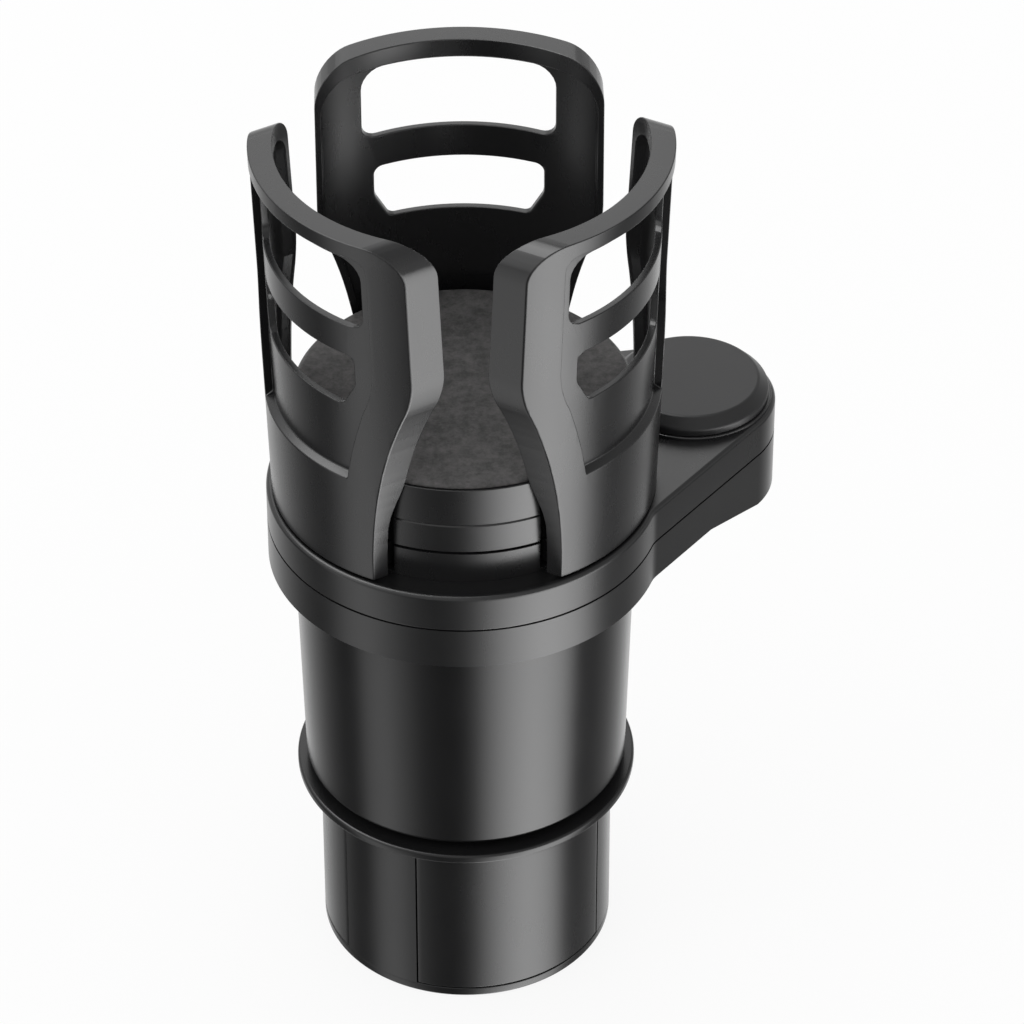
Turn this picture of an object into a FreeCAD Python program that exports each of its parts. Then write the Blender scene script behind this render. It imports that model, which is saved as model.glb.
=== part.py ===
import FreeCAD, Part
import math
import os
import re
import Sketcher

# Swing-out cup holder for a car console, in millimetres, +Z up.
# The origin is the centre of the lower cup's foot. The claws stand at 90, 210 and 330 degrees
# and the arm points at 30 degrees, between two of them.

SIZES = [
    ("cup_radius", 35.0, "lower cup, outside"),
    ("cup_wall", 2.4, "wall of the lower cup and of its shoes"),
    ("cup_top", 49.5, "top of the flange above the foot"),
    ("plate_thick", 2.4, "base plate"),
    ("plate_chamfer", 0.6, "lower edge of the base plate"),
    ("flange_thick", 2.2, "flange on the lower cup"),
    ("column_span", 35.0, "degrees that each fixed column of the lower cup covers"),
    ("part_gap", 0.3, "clearance between mouldings that move past each other"),
    ("run_fit", 0.08, "radial clearance of a shaft that turns in its bore"),
    ("shoe_travel", 5.0, "how far a shoe moves out"),
    ("barrel_turn", 90.0, "degrees of barrel turn that spread the shoes"),
    ("shoe_pin_reach", 16.0, "shoe pin from the main axis, shoes closed"),
    ("tongue_half", 6.0, "half the width of a shoe's tongue"),
    ("tongue_thick", 3.0, "thickness of a shoe's tongue"),
    ("rib_thick", 2.0, "guide ribs beside a tongue"),
    ("pin_radius", 2.0, "pins that run in the cam slots"),
    ("pin_slack", 0.25, "clearance round a pin in its slot"),
    ("slot_spare", 5.0, "degrees of slot beyond each end of the travel"),
    ("cam_thick", 3.0, "cam plates"),
    ("cam_radius", 25.8, "lower and upper cam plates"),
    ("neck_radius", 9.0, "neck of the barrel in the flange"),
    ("neck_collar", 2.4, "wall of the collar round the neck's bore"),
    ("spindle_radius", 8.0, "round middle of the spindle"),
    ("hex_radius", 6.0, "corner radius of the spindle's six-sided ends"),
    ("hex_slack", 0.1, "clearance round the six-sided ends"),
    ("socket_depth", 5.0, "depth of the barrel's six-sided socket above its neck's end"),
    ("screw_radius", 1.2, "small screws"),
    ("screw_head", 2.2, "heads of the small screws"),
    ("head_depth", 1.4, "head height of the small screws"),
    ("screw_slack", 0.05, "clearance round a screw"),
    ("screw_length", 9.0, "small screws below the head"),
    ("screw_boss", 3.2, "bosses that take the small screws"),
    ("bolt_radius", 2.0, "spindle and pivot screws"),
    ("bolt_head", 3.6, "heads of the spindle and pivot screws"),
    ("bolt_head_depth", 1.9, "head height of the spindle and pivot screws"),
    ("washer_radius", 7.5, "washers under those heads"),
    ("washer_thick", 1.0, "those washers"),
    ("barrel_top_radius", 40.0, "barrel, outside, at its top"),
    ("lip_rise", 2.2, "height of the lip's slope"),
    ("barrel_wall", 3.0, "barrel wall"),
    ("barrel_floor", 4.0, "barrel floor"),
    ("barrel_top", 119.3, "top of the barrel above the foot"),
    ("lower_rise", 10.2, "height of the lower collar"),
    ("upper_rise", 9.2, "height of the upper collar"),
    ("rim_drop", 0.6, "depth of the round recess inside the upper rim"),
    ("rim_width", 1.6, "width of the upper rim"),
    ("rim_round", 1.0, "rounding of the upper collar's outer edge"),
    ("arm_angle", 30.0, "direction of the arm"),
    ("arm_end", 20.25, "round end of the arm"),
    ("arm_blend", 9.0, "concave rounding between arm and collar"),
    ("arm_drop", 4.4, "extra depth of the lower arm's outer end"),
    ("shell_wall", 2.2, "walls of both arms"),
    ("deck_thick", 2.4, "top skins of both arms"),
    ("floor_thick", 1.8, "cover under the upper collar"),
    ("post_radius", 6.0, "pivot post"),
    ("post_flange", 9.5, "flange at the foot of the post"),
    ("post_flange_thick", 2.0, "flange at the foot of the post"),
    ("pivot_boss", 15.0, "boss round the pivot in both arms"),
    ("thrust_radius", 13.0, "thrust washer between the arms"),
    ("thrust_thick", 0.8, "thrust washer between the arms"),
    ("wave_thick", 0.8, "wave washer on the pivot"),
    ("pivot_washer_radius", 11.0, "washer at the top of the post"),
    ("cap_radius", 18.6, "pivot cap"),
    ("cap_face", 16.2, "flat top of the pivot cap"),
    ("cap_rise", 4.2, "height of the pivot cap above its ring"),
    ("cap_wall", 1.8, "wall of the pivot cap"),
    ("ring_radius", 19.3, "seat ring of the pivot cap"),
    ("ring_rise", 0.8, "seat ring of the pivot cap"),
    ("hub_rise", 7.8, "lowest tier, fixed"),
    ("hub_floor", 0.8, "floor of the lowest tier"),
    ("hub_post", 7.0, "post that the platform turns on"),
    ("cam_rise", 7.9, "middle tier, turning"),
    ("top_rise", 9.7, "upper tier, turning"),
    ("tier_wall", 4.2, "wall of the turning tiers"),
    ("top_skin", 2.2, "top of the upper tier"),
    ("tier_chamfer", 0.5, "edges of the tiers"),
    ("land_half", 25.0, "degrees each side of a full-width land"),
    ("grip_depth", 1.5, "depth of the tiers' hollows behind the claws"),
    ("platform_turn", 100.0, "degrees of platform turn that spread the claws"),
    ("pad_thick", 1.2, "seat pad"),
    ("claw_gap", 0.4, "claws above the upper rim"),
    ("claw_rise", 92.1, "height of the claws"),
    ("claw_wall", 5.6, "claw wall"),
    ("shoulder_rise", 55.6, "where a claw reaches its full width"),
    ("claw_corner", 8.0, "upper corners of a claw"),
    ("claw_travel", 6.0, "how far a claw moves out"),
    ("foot_rise", 6.5, "height of a claw's foot"),
    ("border", 7.3, "plain border round a claw's panel"),
    ("panel_depth", 2.0, "depth of the panel in a claw's outer face"),
    ("panel_low", 27.0, "lower edge of the panel above the claw's bottom"),
    ("panel_high", 88.4, "upper edge of the panel"),
    ("hollow_lip", 1.5, "lip round the hollow in a claw's inner face"),
    ("hollow_depth", 1.9, "depth of that hollow"),
    ("hollow_low", 18.6, "lower edge of the hollow above the claw's bottom"),
    ("hollow_high", 87.55, "upper edge of the hollow"),
    ("hollow_corner", 6.5, "upper corners of the hollow"),
    ("high_low", 68.35, "sill of the upper window"),
    ("high_top", 87.0, "head of the upper window"),
    ("high_corner", 4.0, "corners of the upper window"),
    ("low_low", 46.1, "sill of the lower window"),
    ("low_knee", 52.6, "where its sides start to slant"),
    ("low_top", 60.1, "head of the lower window"),
    ("low_corner", 2.0, "corners of the lower window"),
    ("flange_lip", 0.5, "how far the lower cup's flange stands out past the barrel's top"),
    ("barrel_taper", 1.7, "how much narrower the barrel is at its foot"),
    ("lip_step", 3.1, "how far the barrel's lower lip draws in"),
    ("collar_wall", 5.8, "both collars, beyond the barrel's top"),
    ("collar_grip", 8.0, "depth of the barrel's top in the lower collar"),
    ("hub_margin", 6.8, "pedestal inside the collars' outer edge"),
    ("pad_margin", 0.6, "seat pad inside the pedestal's edge"),
    ("claw_stand", 1.4, "room between the closed claws and the tiers' hollows"),
    ("claw_lean", 2.8, "how much further out the claws are at the top"),
    ("claw_spread", 43.735, "degrees from a claw's middle to its side, at the top"),
    ("claw_foot_spread", 31.725, "degrees from a claw's middle to its side, at the bottom"),
    ("foot_margin", 2.4, "a claw's foot inside its side"),
    ("high_margin", 10.5, "upper window inside a claw's side"),
    ("low_margin", 13.1, "lower window inside a claw's side"),
    ("sill_margin", 3.4, "how much further in the lower window's sill ends"),
    ("cap_room", 4.8, "room between the pedestal and the pivot cap"),
    ("arm_shoulder", 2.7, "where the arm's sides leave from, inside the collar's edge"),
    ("ramp_lead", 10.4, "start of the lower arm's slope before the pivot"),
    ("ramp_trail", 7.6, "end of that slope past the pivot"),
    ("floor_screw_margin", 8.8, "cover screws inside the collar's edge"),
    ("hub_screw_margin", 6.5, "pedestal screws inside the pedestal's edge"),
    ("column_screw_margin", 2.8, "column screws inside the lower cup's wall"),
    ("slot_margin", 1.0, "solid ring outside the cam ring's slots"),
    ("pin_tip", 2.0, "a shoe's tongue, past its pin"),
    ("foot_tip", 2.0, "a claw's foot, past its pin"),
    ("rib_start", 13.0, "inner end of the guide ribs from the main axis"),
    ("rib_length", 12.0, "guide ribs beside a tongue"),
    ("thread_length", 9.0, "pivot and pedestal screws in their thread"),
    ("thread_spare", 2.0, "depth of a thread past its screw's end"),
    ("post_drop", 1.5, "top of the pedestal's post below the middle tier's top"),
    ("screw_tip_room", 1.0, "room past the end of a screw"),
    ("foot_pocket", 7.0, "length of the pocket under a claw's foot"),
    ("foot_pocket_lead", 5.0, "start of that pocket past the pin"),
    ("foot_skin", 2.0, "top of a claw's foot over that pocket"),
    ("foot_side", 4.0, "sides of a claw's foot beside that pocket"),
    ("foot_inset", 1.0, "outer end of a claw's foot inside its wall"),
    ("over", 1.0, "how far a cutting tool reaches past what it cuts"),
]

# Sizes that follow others, so that parts which meet in the real thing stay together.
LINKED = [
    ("barrel_low_radius", "barrel_top_radius - barrel_taper", "barrel, outside, above its lower lip"),
    ("lip_radius", "barrel_low_radius - lip_step", "lower lip of the barrel"),
    ("flange_radius", "barrel_top_radius + flange_lip", "flange on the lower cup"),
    ("collar_radius", "barrel_top_radius + collar_wall", "both collars"),
    ("lower_start", "barrel_top - collar_grip", "underside of the lower collar above the foot"),
    ("column_screw_reach", "cup_radius - cup_wall - column_screw_margin", "column screws from the main axis"),
    ("hub_radius", "collar_radius - hub_margin", "all three tiers of the pedestal"),
    ("pad_radius", "hub_radius - pad_margin", "seat pad"),
    ("claw_low_radius", "hub_radius - grip_depth + claw_stand + claw_wall", "claws, outside, at the bottom"),
    ("claw_top_radius", "claw_low_radius + claw_lean", "claws, outside, at the top"),
    ("claw_half", "claw_top_radius * sin(claw_spread)", "half the width of a claw's upper part"),
    ("claw_foot_half", "claw_low_radius * sin(claw_foot_spread)", "half the width of a claw at its bottom"),
    ("foot_half", "claw_foot_half - foot_margin", "half the width of a claw's foot"),
    ("high_half", "claw_half - high_margin", "half the width of the upper window"),
    ("low_half", "claw_half - low_margin", "half the width of the lower window at its top"),
    ("low_sill_half", "low_half - sill_margin", "half the width of its sill"),
    ("claw_pin_reach", "hub_radius - tier_wall - claw_travel - pin_radius - pin_slack - slot_margin",
     "claw pin from the main axis, claws closed"),
    ("foot_reach", "claw_pin_reach - pin_radius - foot_tip", "inner end of a claw's foot"),
    ("platform_screw_reach", "(hub_post + neck_collar + claw_pin_reach - pin_radius - pin_slack) / 2",
     "platform screws, midway between the post's collar and the slots"),
    ("hub_screw_reach", "hub_radius - hub_screw_margin", "pedestal screws from the main axis"),
    ("floor_screw_reach", "collar_radius - floor_screw_margin", "cover screws from the main axis"),
    ("pivot_reach", "hub_radius + cap_radius + cap_room", "arm pivot from the main axis"),
    ("arm_root", "collar_radius - arm_shoulder", "radius that the arm's sides leave from"),
    ("ramp_start", "pivot_reach - ramp_lead", "where the lower arm starts to deepen"),
    ("ramp_end", "pivot_reach + ramp_trail", "where it reaches its full depth"),
]

CLAW_ANGLES = [90, 210, 330]
SHOE_ANGLES = [291, 51, 171]
COLUMN_ANGLES = [351, 111, 231]
LAND_ANGLES = [30, 150, 270]
AXIS = FreeCAD.Vector(0, 0, 1)
FAR = "300"
HALF_FAR = "150"
ANGLE_TOLERANCE = 1e-3

doc = FreeCAD.newDocument("cup_holder")
sheet = doc.addObject("Spreadsheet::Sheet", "Sizes")
TRIGONOMETRY = r"\b(sin|cos)\(([a-z_]+)\)"
ROWS = [(alias, str(value), meaning) for alias, value, meaning in SIZES]
ROWS += [(alias, "=" + re.sub(TRIGONOMETRY, r"\1(\2 * 1 deg)", text), meaning) for alias, text, meaning in LINKED]
for row, (alias, content, meaning) in enumerate(ROWS, start=1):
    sheet.set(f"A{row}", meaning)
    sheet.setAlias(f"B{row}", alias)
    sheet.set(f"B{row}", content)
    doc.recompute()
ALIASES = {alias for alias, content, meaning in ROWS}

# Levels above the foot, as expressions on the sheet.
FLANGE_LOW = "(cup_top - flange_thick)"
BARREL_LOW = "(cup_top + part_gap)"
LOW_TONGUE = "(plate_thick + part_gap)"
LOW_CAM = f"({LOW_TONGUE} + tongue_thick + part_gap)"
HIGH_TONGUE = f"({FLANGE_LOW} - part_gap - tongue_thick)"
HIGH_CAM = f"({HIGH_TONGUE} - part_gap - cam_thick)"
LOWER_TOP = "(lower_start + lower_rise)"
UPPER_LOW = f"({LOWER_TOP} + part_gap)"
RIM_TOP = f"({UPPER_LOW} + upper_rise)"
DECK_TOP = f"({RIM_TOP} - rim_drop)"
DECK_LOW = f"({RIM_TOP} - deck_thick)"
HUB_TOP = f"({DECK_TOP} + hub_rise)"
CAM_LOW = f"({HUB_TOP} + part_gap)"
CAM_TOP = f"({CAM_LOW} + cam_rise)"
TOP_TOP = f"({CAM_TOP} + top_rise)"
CLAW_LOW = f"({RIM_TOP} + claw_gap)"
FOOT_TOP = f"({CLAW_LOW} + foot_rise)"
POST_TOP = f"({DECK_LOW} + wave_thick + 3 * run_fit)"
PIVOT_X = "(pivot_reach * cos(arm_angle))"
PIVOT_Y = "(pivot_reach * sin(arm_angle))"


def ex(text):
    """The text as an expression, its size names pointed at the sheet."""
    return re.sub(r"[a-z_]+", lambda m: "Sizes." + m.group() if m.group() in ALIASES else m.group(), text)


def size(text):
    """The value that an expression has now."""
    value = sheet.evalExpression(ex(text))
    return float(getattr(value, "Value", value))


def bind(item, **properties):
    for name, text in properties.items():
        item.setExpression(name.replace("__", "."), ex(text))
    return item


def at(item, x="0", y="0", z="0"):
    return bind(item, Placement__Base__x=x, Placement__Base__y=y, Placement__Base__z=z)


def cylinder(name, radius, height, z="0", x="0", y="0"):
    item = doc.addObject("Part::Cylinder", name)
    bind(item, Radius=radius, Height=height)
    return at(item, x, y, z)


def tube(name, outer, inner, height, z="0", x="0", y="0"):
    body = cylinder(name + "_out", outer, height, z, x, y)
    hole = cylinder(name + "_in", inner, f"{height} + 2 * over", f"{z} - over", x, y)
    return cut(name, body, hole)


def sector(name, radius, height, z, span, middle):
    """A slice of a round disc, span degrees wide, about the direction middle."""
    item = cylinder(name, radius, height, z)
    bind(item, Angle=span)
    item.Placement.Rotation = FreeCAD.Rotation(AXIS, middle - size(span) / 2)
    return item


def cone(name, low_radius, high_radius, height, z="0"):
    item = doc.addObject("Part::Cone", name)
    bind(item, Radius1=low_radius, Radius2=high_radius, Height=height)
    return at(item, z=z)


def box(name, length, width, height, x, y, z):
    item = doc.addObject("Part::Box", name)
    bind(item, Length=length, Width=width, Height=height)
    return at(item, x, y, z)


def six_sided(name, radius, height, z):
    item = doc.addObject("Part::Prism", name)
    item.Polygon = 6
    bind(item, Circumradius=radius, Height=height)
    return at(item, z=z)


def fuse(name, *items):
    item = doc.addObject("Part::MultiFuse", name)
    item.Shapes = list(items)
    item.Refine = True
    return item


def common(name, *items):
    item = doc.addObject("Part::MultiCommon", name)
    item.Shapes = list(items)
    return item


def cut(name, base, *tools):
    item = doc.addObject("Part::Cut", name)
    item.Base = base
    item.Tool = tools[0] if len(tools) == 1 else fuse(name + "_tools", *tools)
    item.Refine = True
    return item


def turn(item, degrees):
    """Turns a finished item about the main axis."""
    item.Placement = FreeCAD.Placement(FreeCAD.Vector(), FreeCAD.Rotation(AXIS, degrees))
    return item


def spread(name, item, angles):
    """One copy of an item at each angle about the main axis."""
    copies = []
    for number, degrees in enumerate(angles, start=1):
        copy = doc.addObject("Part::Compound", f"{name}_{number}")
        copy.Links = [item]
        copies.append(turn(copy, degrees))
    return copies


def rounded(name, base, radius, test):
    """Rounds the edges of base that the test accepts."""
    doc.recompute()
    item = doc.addObject("Part::Fillet", name)
    item.Base = base
    chosen = [number for number, edge in enumerate(base.Shape.Edges, start=1) if test(edge)]
    item.Edges = [(number, size(radius), size(radius)) for number in chosen]
    return item


def outline(sketch, points):
    """A closed run of straight lines whose corners are bound to the sheet."""
    corners = [FreeCAD.Vector(size(x), size(y), 0) for x, y in points]
    for number, corner in enumerate(corners):
        following = corners[(number + 1) % len(corners)]
        sketch.addGeometry(Part.LineSegment(corner, following), False)
    for number in range(len(corners)):
        sketch.addConstraint(Sketcher.Constraint("Coincident", number, 2, (number + 1) % len(corners), 1))
    for number, (x, y) in enumerate(points):
        for kind, text, value in (("DistanceX", x, corners[number].x), ("DistanceY", y, corners[number].y)):
            if text == "0":
                axis = -2 if kind == "DistanceX" else -1
                sketch.addConstraint(Sketcher.Constraint("PointOnObject", number, 1, axis))
                continue
            place = sketch.addConstraint(Sketcher.Constraint(kind, -1, 1, number, 1, value))
            sketch.setExpression(f"Constraints[{place}]", ex(text))


def sketched(name, plane, points):
    body = doc.addObject("PartDesign::Body", name)
    sketch = body.newObject("Sketcher::SketchObject", name + "_sketch")
    origin_plane = next(item for item in body.Origin.OriginFeatures if item.Role == plane)
    sketch.AttachmentSupport = [(origin_plane, "")]
    sketch.MapMode = "FlatFace"
    doc.recompute()
    outline(sketch, points)
    return body, sketch


def turned(name, points):
    """A round piece from its half section: each point is a radius and a height."""
    body, sketch = sketched(name, "XZ_Plane", points)
    feature = body.newObject("PartDesign::Revolution", name + "_turned")
    feature.Profile = sketch
    feature.ReferenceAxis = (sketch, ["V_Axis"])
    feature.Angle = 360
    return body


def prism(name, plane, points, length, both_ways=False):
    body, sketch = sketched(name, plane, points)
    feature = body.newObject("PartDesign::Pad", name + "_pad")
    feature.Profile = sketch
    bind(feature, Length=length)
    feature.Midplane = both_ways
    return body


def spiral_slot(name, reach, travel, swing, middle, z, height):
    """A slot whose middle line moves out evenly as it turns back from the pin's direction.

    A pin held at the direction middle moves from reach to reach + travel while the
    plate turns forward by swing degrees.
    """
    full = math.radians(size(swing))
    spare = math.radians(size("slot_spare"))
    rate = size(travel) / full
    half = size("pin_radius + pin_slack")
    steps = 12

    def middle_line(angle):
        radius = size(reach) + rate * angle
        direction = math.radians(middle) - angle
        return FreeCAD.Vector(radius * math.cos(direction), radius * math.sin(direction), 0)

    def side(angle, way):
        ahead = middle_line(angle + ANGLE_TOLERANCE) - middle_line(angle - ANGLE_TOLERANCE)
        ahead.normalize()
        return middle_line(angle) + FreeCAD.Vector(-ahead.y, ahead.x, 0) * way * half

    def end(angle, way):
        ahead = middle_line(angle + ANGLE_TOLERANCE) - middle_line(angle - ANGLE_TOLERANCE)
        ahead.normalize()
        return middle_line(angle) + ahead * way * half

    angles = [-spare + (full + 2 * spare) * step / steps for step in range(steps + 1)]
    left = Part.BSplineCurve()
    left.interpolate([side(angle, 1) for angle in angles])
    right = Part.BSplineCurve()
    right.interpolate([side(angle, -1) for angle in reversed(angles)])
    far_end = Part.Arc(side(angles[-1], 1), end(angles[-1], 1), side(angles[-1], -1))
    near_end = Part.Arc(side(angles[0], -1), end(angles[0], -1), side(angles[0], 1))
    wire = Part.Wire([left.toShape(), far_end.toShape(), right.toShape(), near_end.toShape()])
    item = doc.addObject("Part::Feature", name)
    item.Shape = Part.Face(wire).extrude(AXIS * size(height))
    item.Placement.Base = FreeCAD.Vector(0, 0, size(z))
    return item


def screws(name, head_z, angles, reach, downwards=False):
    """Small screws in a ring, their heads at the level head_z."""
    sign = "-" if downwards else "+"
    shank_z = f"{head_z} - screw_length" if downwards else f"{head_z} + head_depth"
    head = cylinder(name + "_head", "screw_head", "head_depth", head_z, x=reach)
    shank = cylinder(name + "_shank", "screw_radius", "screw_length", shank_z, x=reach)
    one = fuse(name + "_one", head, shank)
    return finish_group(name, spread(name + "_at", one, angles))


def finish_group(name, copies):
    group = doc.addObject("Part::Compound", name)
    group.Links = copies
    return group


NODES = []


def node(name, item):
    """Names a finished sub-part, which is written to a file of that name."""
    item.Label = name
    NODES.append(item)
    return item


def build_base_plate():
    plate = turned("plate_disc", [
        ("0", "0"), ("cup_radius - plate_chamfer", "0"), ("cup_radius", "plate_chamfer"),
        ("cup_radius", "plate_thick"), ("0", "plate_thick")])
    rib_y = "tongue_half + part_gap"
    ribs = [box("plate_rib_a", "rib_length", "rib_thick", "tongue_thick", "rib_start", rib_y, "plate_thick"),
            box("plate_rib_b", "rib_length", "rib_thick", "tongue_thick", "rib_start", f"-({rib_y}) - rib_thick", "plate_thick")]
    rib_pair = fuse("plate_rib_pair", *ribs)
    body = fuse("plate_body", plate, *spread("plate_ribs", rib_pair, SHOE_ANGLES))
    hole = cylinder("plate_hole", "screw_radius + screw_slack", "plate_thick + 2 * over", "-over", x="column_screw_reach")
    sink = cylinder("plate_sink", "screw_head + screw_slack", "part_gap + head_depth + over", "-over",
                    x="column_screw_reach")
    holes = fuse("plate_hole_one", hole, sink)
    return node("base_plate", cut("base_plate", body, *spread("plate_holes", holes, COLUMN_ANGLES)))


def build_base_cup():
    flange = tube("cup_flange", "flange_radius", "neck_radius + run_fit", "flange_thick", FLANGE_LOW)
    neck = tube("cup_neck", "neck_radius + run_fit + neck_collar", "neck_radius + run_fit",
                f"{FLANGE_LOW} - {HIGH_TONGUE} + part_gap", f"{HIGH_TONGUE} - part_gap")
    height = f"{FLANGE_LOW} - plate_thick"
    slice_ = sector("cup_slice", "cup_radius", height, "plate_thick", "column_span", 0)
    hollow = cylinder("cup_hollow", "cup_radius - cup_wall", f"{height} + 2 * over", "plate_thick - over")
    wall = cut("cup_wall_piece", slice_, hollow)
    boss = cylinder("cup_boss", "screw_boss", height, "plate_thick", x="column_screw_reach")
    column = fuse("cup_column", wall, boss)
    rib_y = "tongue_half + part_gap"
    rib_z = f"{FLANGE_LOW} - tongue_thick"
    ribs = [box("cup_rib_a", "rib_length", "rib_thick", "tongue_thick", "rib_start", rib_y, rib_z),
            box("cup_rib_b", "rib_length", "rib_thick", "tongue_thick", "rib_start", f"-({rib_y}) - rib_thick", rib_z)]
    rib_pair = fuse("cup_rib_pair", *ribs)
    body = fuse("cup_body", flange, neck, *spread("cup_columns", column, COLUMN_ANGLES),
                *spread("cup_ribs", rib_pair, SHOE_ANGLES))
    hole = cylinder("cup_screw_hole", "screw_radius + screw_slack", "screw_length + screw_tip_room",
                    "plate_thick - over", x="column_screw_reach")
    return node("base_cup", cut("base_cup", body, *spread("cup_screw_holes", hole, COLUMN_ANGLES)))


def build_base_screws():
    return node("base_screws", screws("base_screws", "part_gap", COLUMN_ANGLES, "column_screw_reach"))


def build_grip_shoe(number, degrees):
    prefix = f"shoe_{number}_"
    low = LOW_TONGUE
    height = f"{FLANGE_LOW} - part_gap - {low}"
    span = "120 - column_span - 2 * part_gap / cup_radius * 180 / pi"
    slice_ = sector(prefix + "slice", "cup_radius", height, low, span, 0)
    hollow = cylinder(prefix + "hollow", "cup_radius - cup_wall", f"{height} + 2 * over", f"{low} - over")
    shell = cut(prefix + "shell", slice_, hollow)
    inner_end = "shoe_pin_reach - pin_radius - pin_tip"
    length = f"cup_radius - cup_wall / 2 - ({inner_end})"
    tongues = [box(prefix + "tongue_low", length, "2 * tongue_half", "tongue_thick",
                   inner_end, "-tongue_half", LOW_TONGUE),
               box(prefix + "tongue_high", length, "2 * tongue_half", "tongue_thick",
                   inner_end, "-tongue_half", HIGH_TONGUE)]
    pin_length = "cam_thick + 2 * part_gap"
    pins = [cylinder(prefix + "pin_low", "pin_radius", pin_length, f"{LOW_TONGUE} + tongue_thick",
                     x="shoe_pin_reach"),
            cylinder(prefix + "pin_high", "pin_radius", pin_length, f"{HIGH_TONGUE} - ({pin_length})",
                     x="shoe_pin_reach")]
    return node(f"grip_shoe_{number}", turn(fuse(f"grip_shoe_{number}", shell, *tongues, *pins), degrees))


def build_shoe_cam(name, z):
    disc = cylinder(name + "_disc", "cam_radius", "cam_thick", z)
    hex_hole = six_sided(name + "_hex", "hex_radius + hex_slack", "cam_thick + 2 * over", f"{z} - over")
    slots = [spiral_slot(f"{name}_slot_{number}", "shoe_pin_reach", "shoe_travel", "barrel_turn",
                         degrees, f"{z} - over", "cam_thick + 2 * over")
             for number, degrees in enumerate(SHOE_ANGLES, start=1)]
    return node(name, cut(name, disc, hex_hole, *slots))


def build_spindle():
    low = LOW_CAM
    top = f"{HIGH_CAM} + cam_thick + socket_depth"
    hexagon = six_sided("spindle_hex", "hex_radius", f"{top} - {low}", low)
    middle = cylinder("spindle_middle", "spindle_radius", f"{HIGH_CAM} - {low} - cam_thick", f"{low} + cam_thick")
    bore = cylinder("spindle_bore", "bolt_radius + screw_slack", f"{top} - {low} + 2 * over", f"{low} - over")
    return node("spindle", cut("spindle", fuse("spindle_body", hexagon, middle), bore))


def build_spindle_fasteners():
    washer_z = f"({LOW_CAM} - washer_thick)"
    washer = tube("spindle_washer", "washer_radius", "bolt_radius + screw_slack", "washer_thick", washer_z)
    node("spindle_washer", washer)
    head = cylinder("spindle_screw_head", "bolt_head", "bolt_head_depth", f"{washer_z} - bolt_head_depth")
    length = f"{HIGH_CAM} + cam_thick + socket_depth + thread_spare - {washer_z}"
    shank = cylinder("spindle_screw_shank", "bolt_radius", length, washer_z)
    node("spindle_screw", fuse("spindle_screw", head, shank))


def build_barrel():
    neck_low = f"({HIGH_CAM} + cam_thick)"
    slope_top = f"{BARREL_LOW} + lip_rise"
    floor_top = f"{BARREL_LOW} + barrel_floor"
    rate = f"(barrel_top_radius - barrel_low_radius) / (barrel_top - ({slope_top}))"
    inner_low = f"barrel_low_radius - barrel_wall + {rate} * ({floor_top} - ({slope_top}))"
    shell = turned("barrel_shell", [
        ("0", neck_low), ("neck_radius", neck_low), ("neck_radius", BARREL_LOW), ("lip_radius", BARREL_LOW),
        ("barrel_low_radius", slope_top), ("barrel_top_radius", "barrel_top"),
        ("barrel_top_radius - barrel_wall", "barrel_top"), (inner_low, floor_top), ("0", floor_top)])
    socket = six_sided("barrel_socket", "hex_radius + hex_slack", "socket_depth + part_gap + over", f"{neck_low} - over")
    thread = cylinder("barrel_thread", "bolt_radius + screw_slack", "socket_depth + over + thread_spare + screw_tip_room", f"{neck_low} - over")
    screw_hole = cylinder("barrel_screw_hole", "screw_radius + screw_slack", "screw_length + screw_tip_room",
                          "barrel_top - screw_length", x="barrel_top_radius - barrel_wall / 2")
    return node("barrel", cut("barrel", shell, socket, thread,
                              *spread("barrel_screw_holes", screw_hole, CLAW_ANGLES)))


def arm_plan(prefix, inset, z, height, blend):
    """The plan of a collar with its arm, drawn in by inset and raised from z."""
    round_ = cylinder(prefix + "_round", f"collar_radius - {inset}", height, z)
    tip = cylinder(prefix + "_tip", f"arm_end - {inset}", height, z, x="pivot_reach")
    lean = "((arm_root - arm_end) / pivot_reach)"
    side = f"sqrt(1 - {lean} * {lean})"
    root = f"(arm_root - {inset})"
    end = f"(arm_end - {inset})"
    web = prism(prefix + "_web", "XY_Plane", [
        (f"{root} * {lean}", f"{root} * {side}"),
        (f"{root} * {lean}", f"-{root} * {side}"),
        (f"pivot_reach + {end} * {lean}", f"-{end} * {side}"),
        (f"pivot_reach + {end} * {lean}", f"{end} * {side}")], height)
    at(web, z=z)
    plan = fuse(prefix + "_plan", round_, tip, web)
    if not blend:
        return plan
    inner = size(f"arm_end + {inset}")

    def is_corner(edge):
        first, last = edge.Vertexes[0].Point, edge.Vertexes[-1].Point
        upright = abs(first.x - last.x) + abs(first.y - last.y) < ANGLE_TOLERANCE
        straight = abs(abs(first.z - last.z) - size(height)) < ANGLE_TOLERANCE
        on_collar = abs(math.hypot(first.x, first.y) - size(f"collar_radius - {inset}")) < ANGLE_TOLERANCE
        return upright and straight and on_collar and abs(first.y) > inner / 2

    return rounded(prefix + "_blended", plan, "arm_blend", is_corner)


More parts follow.
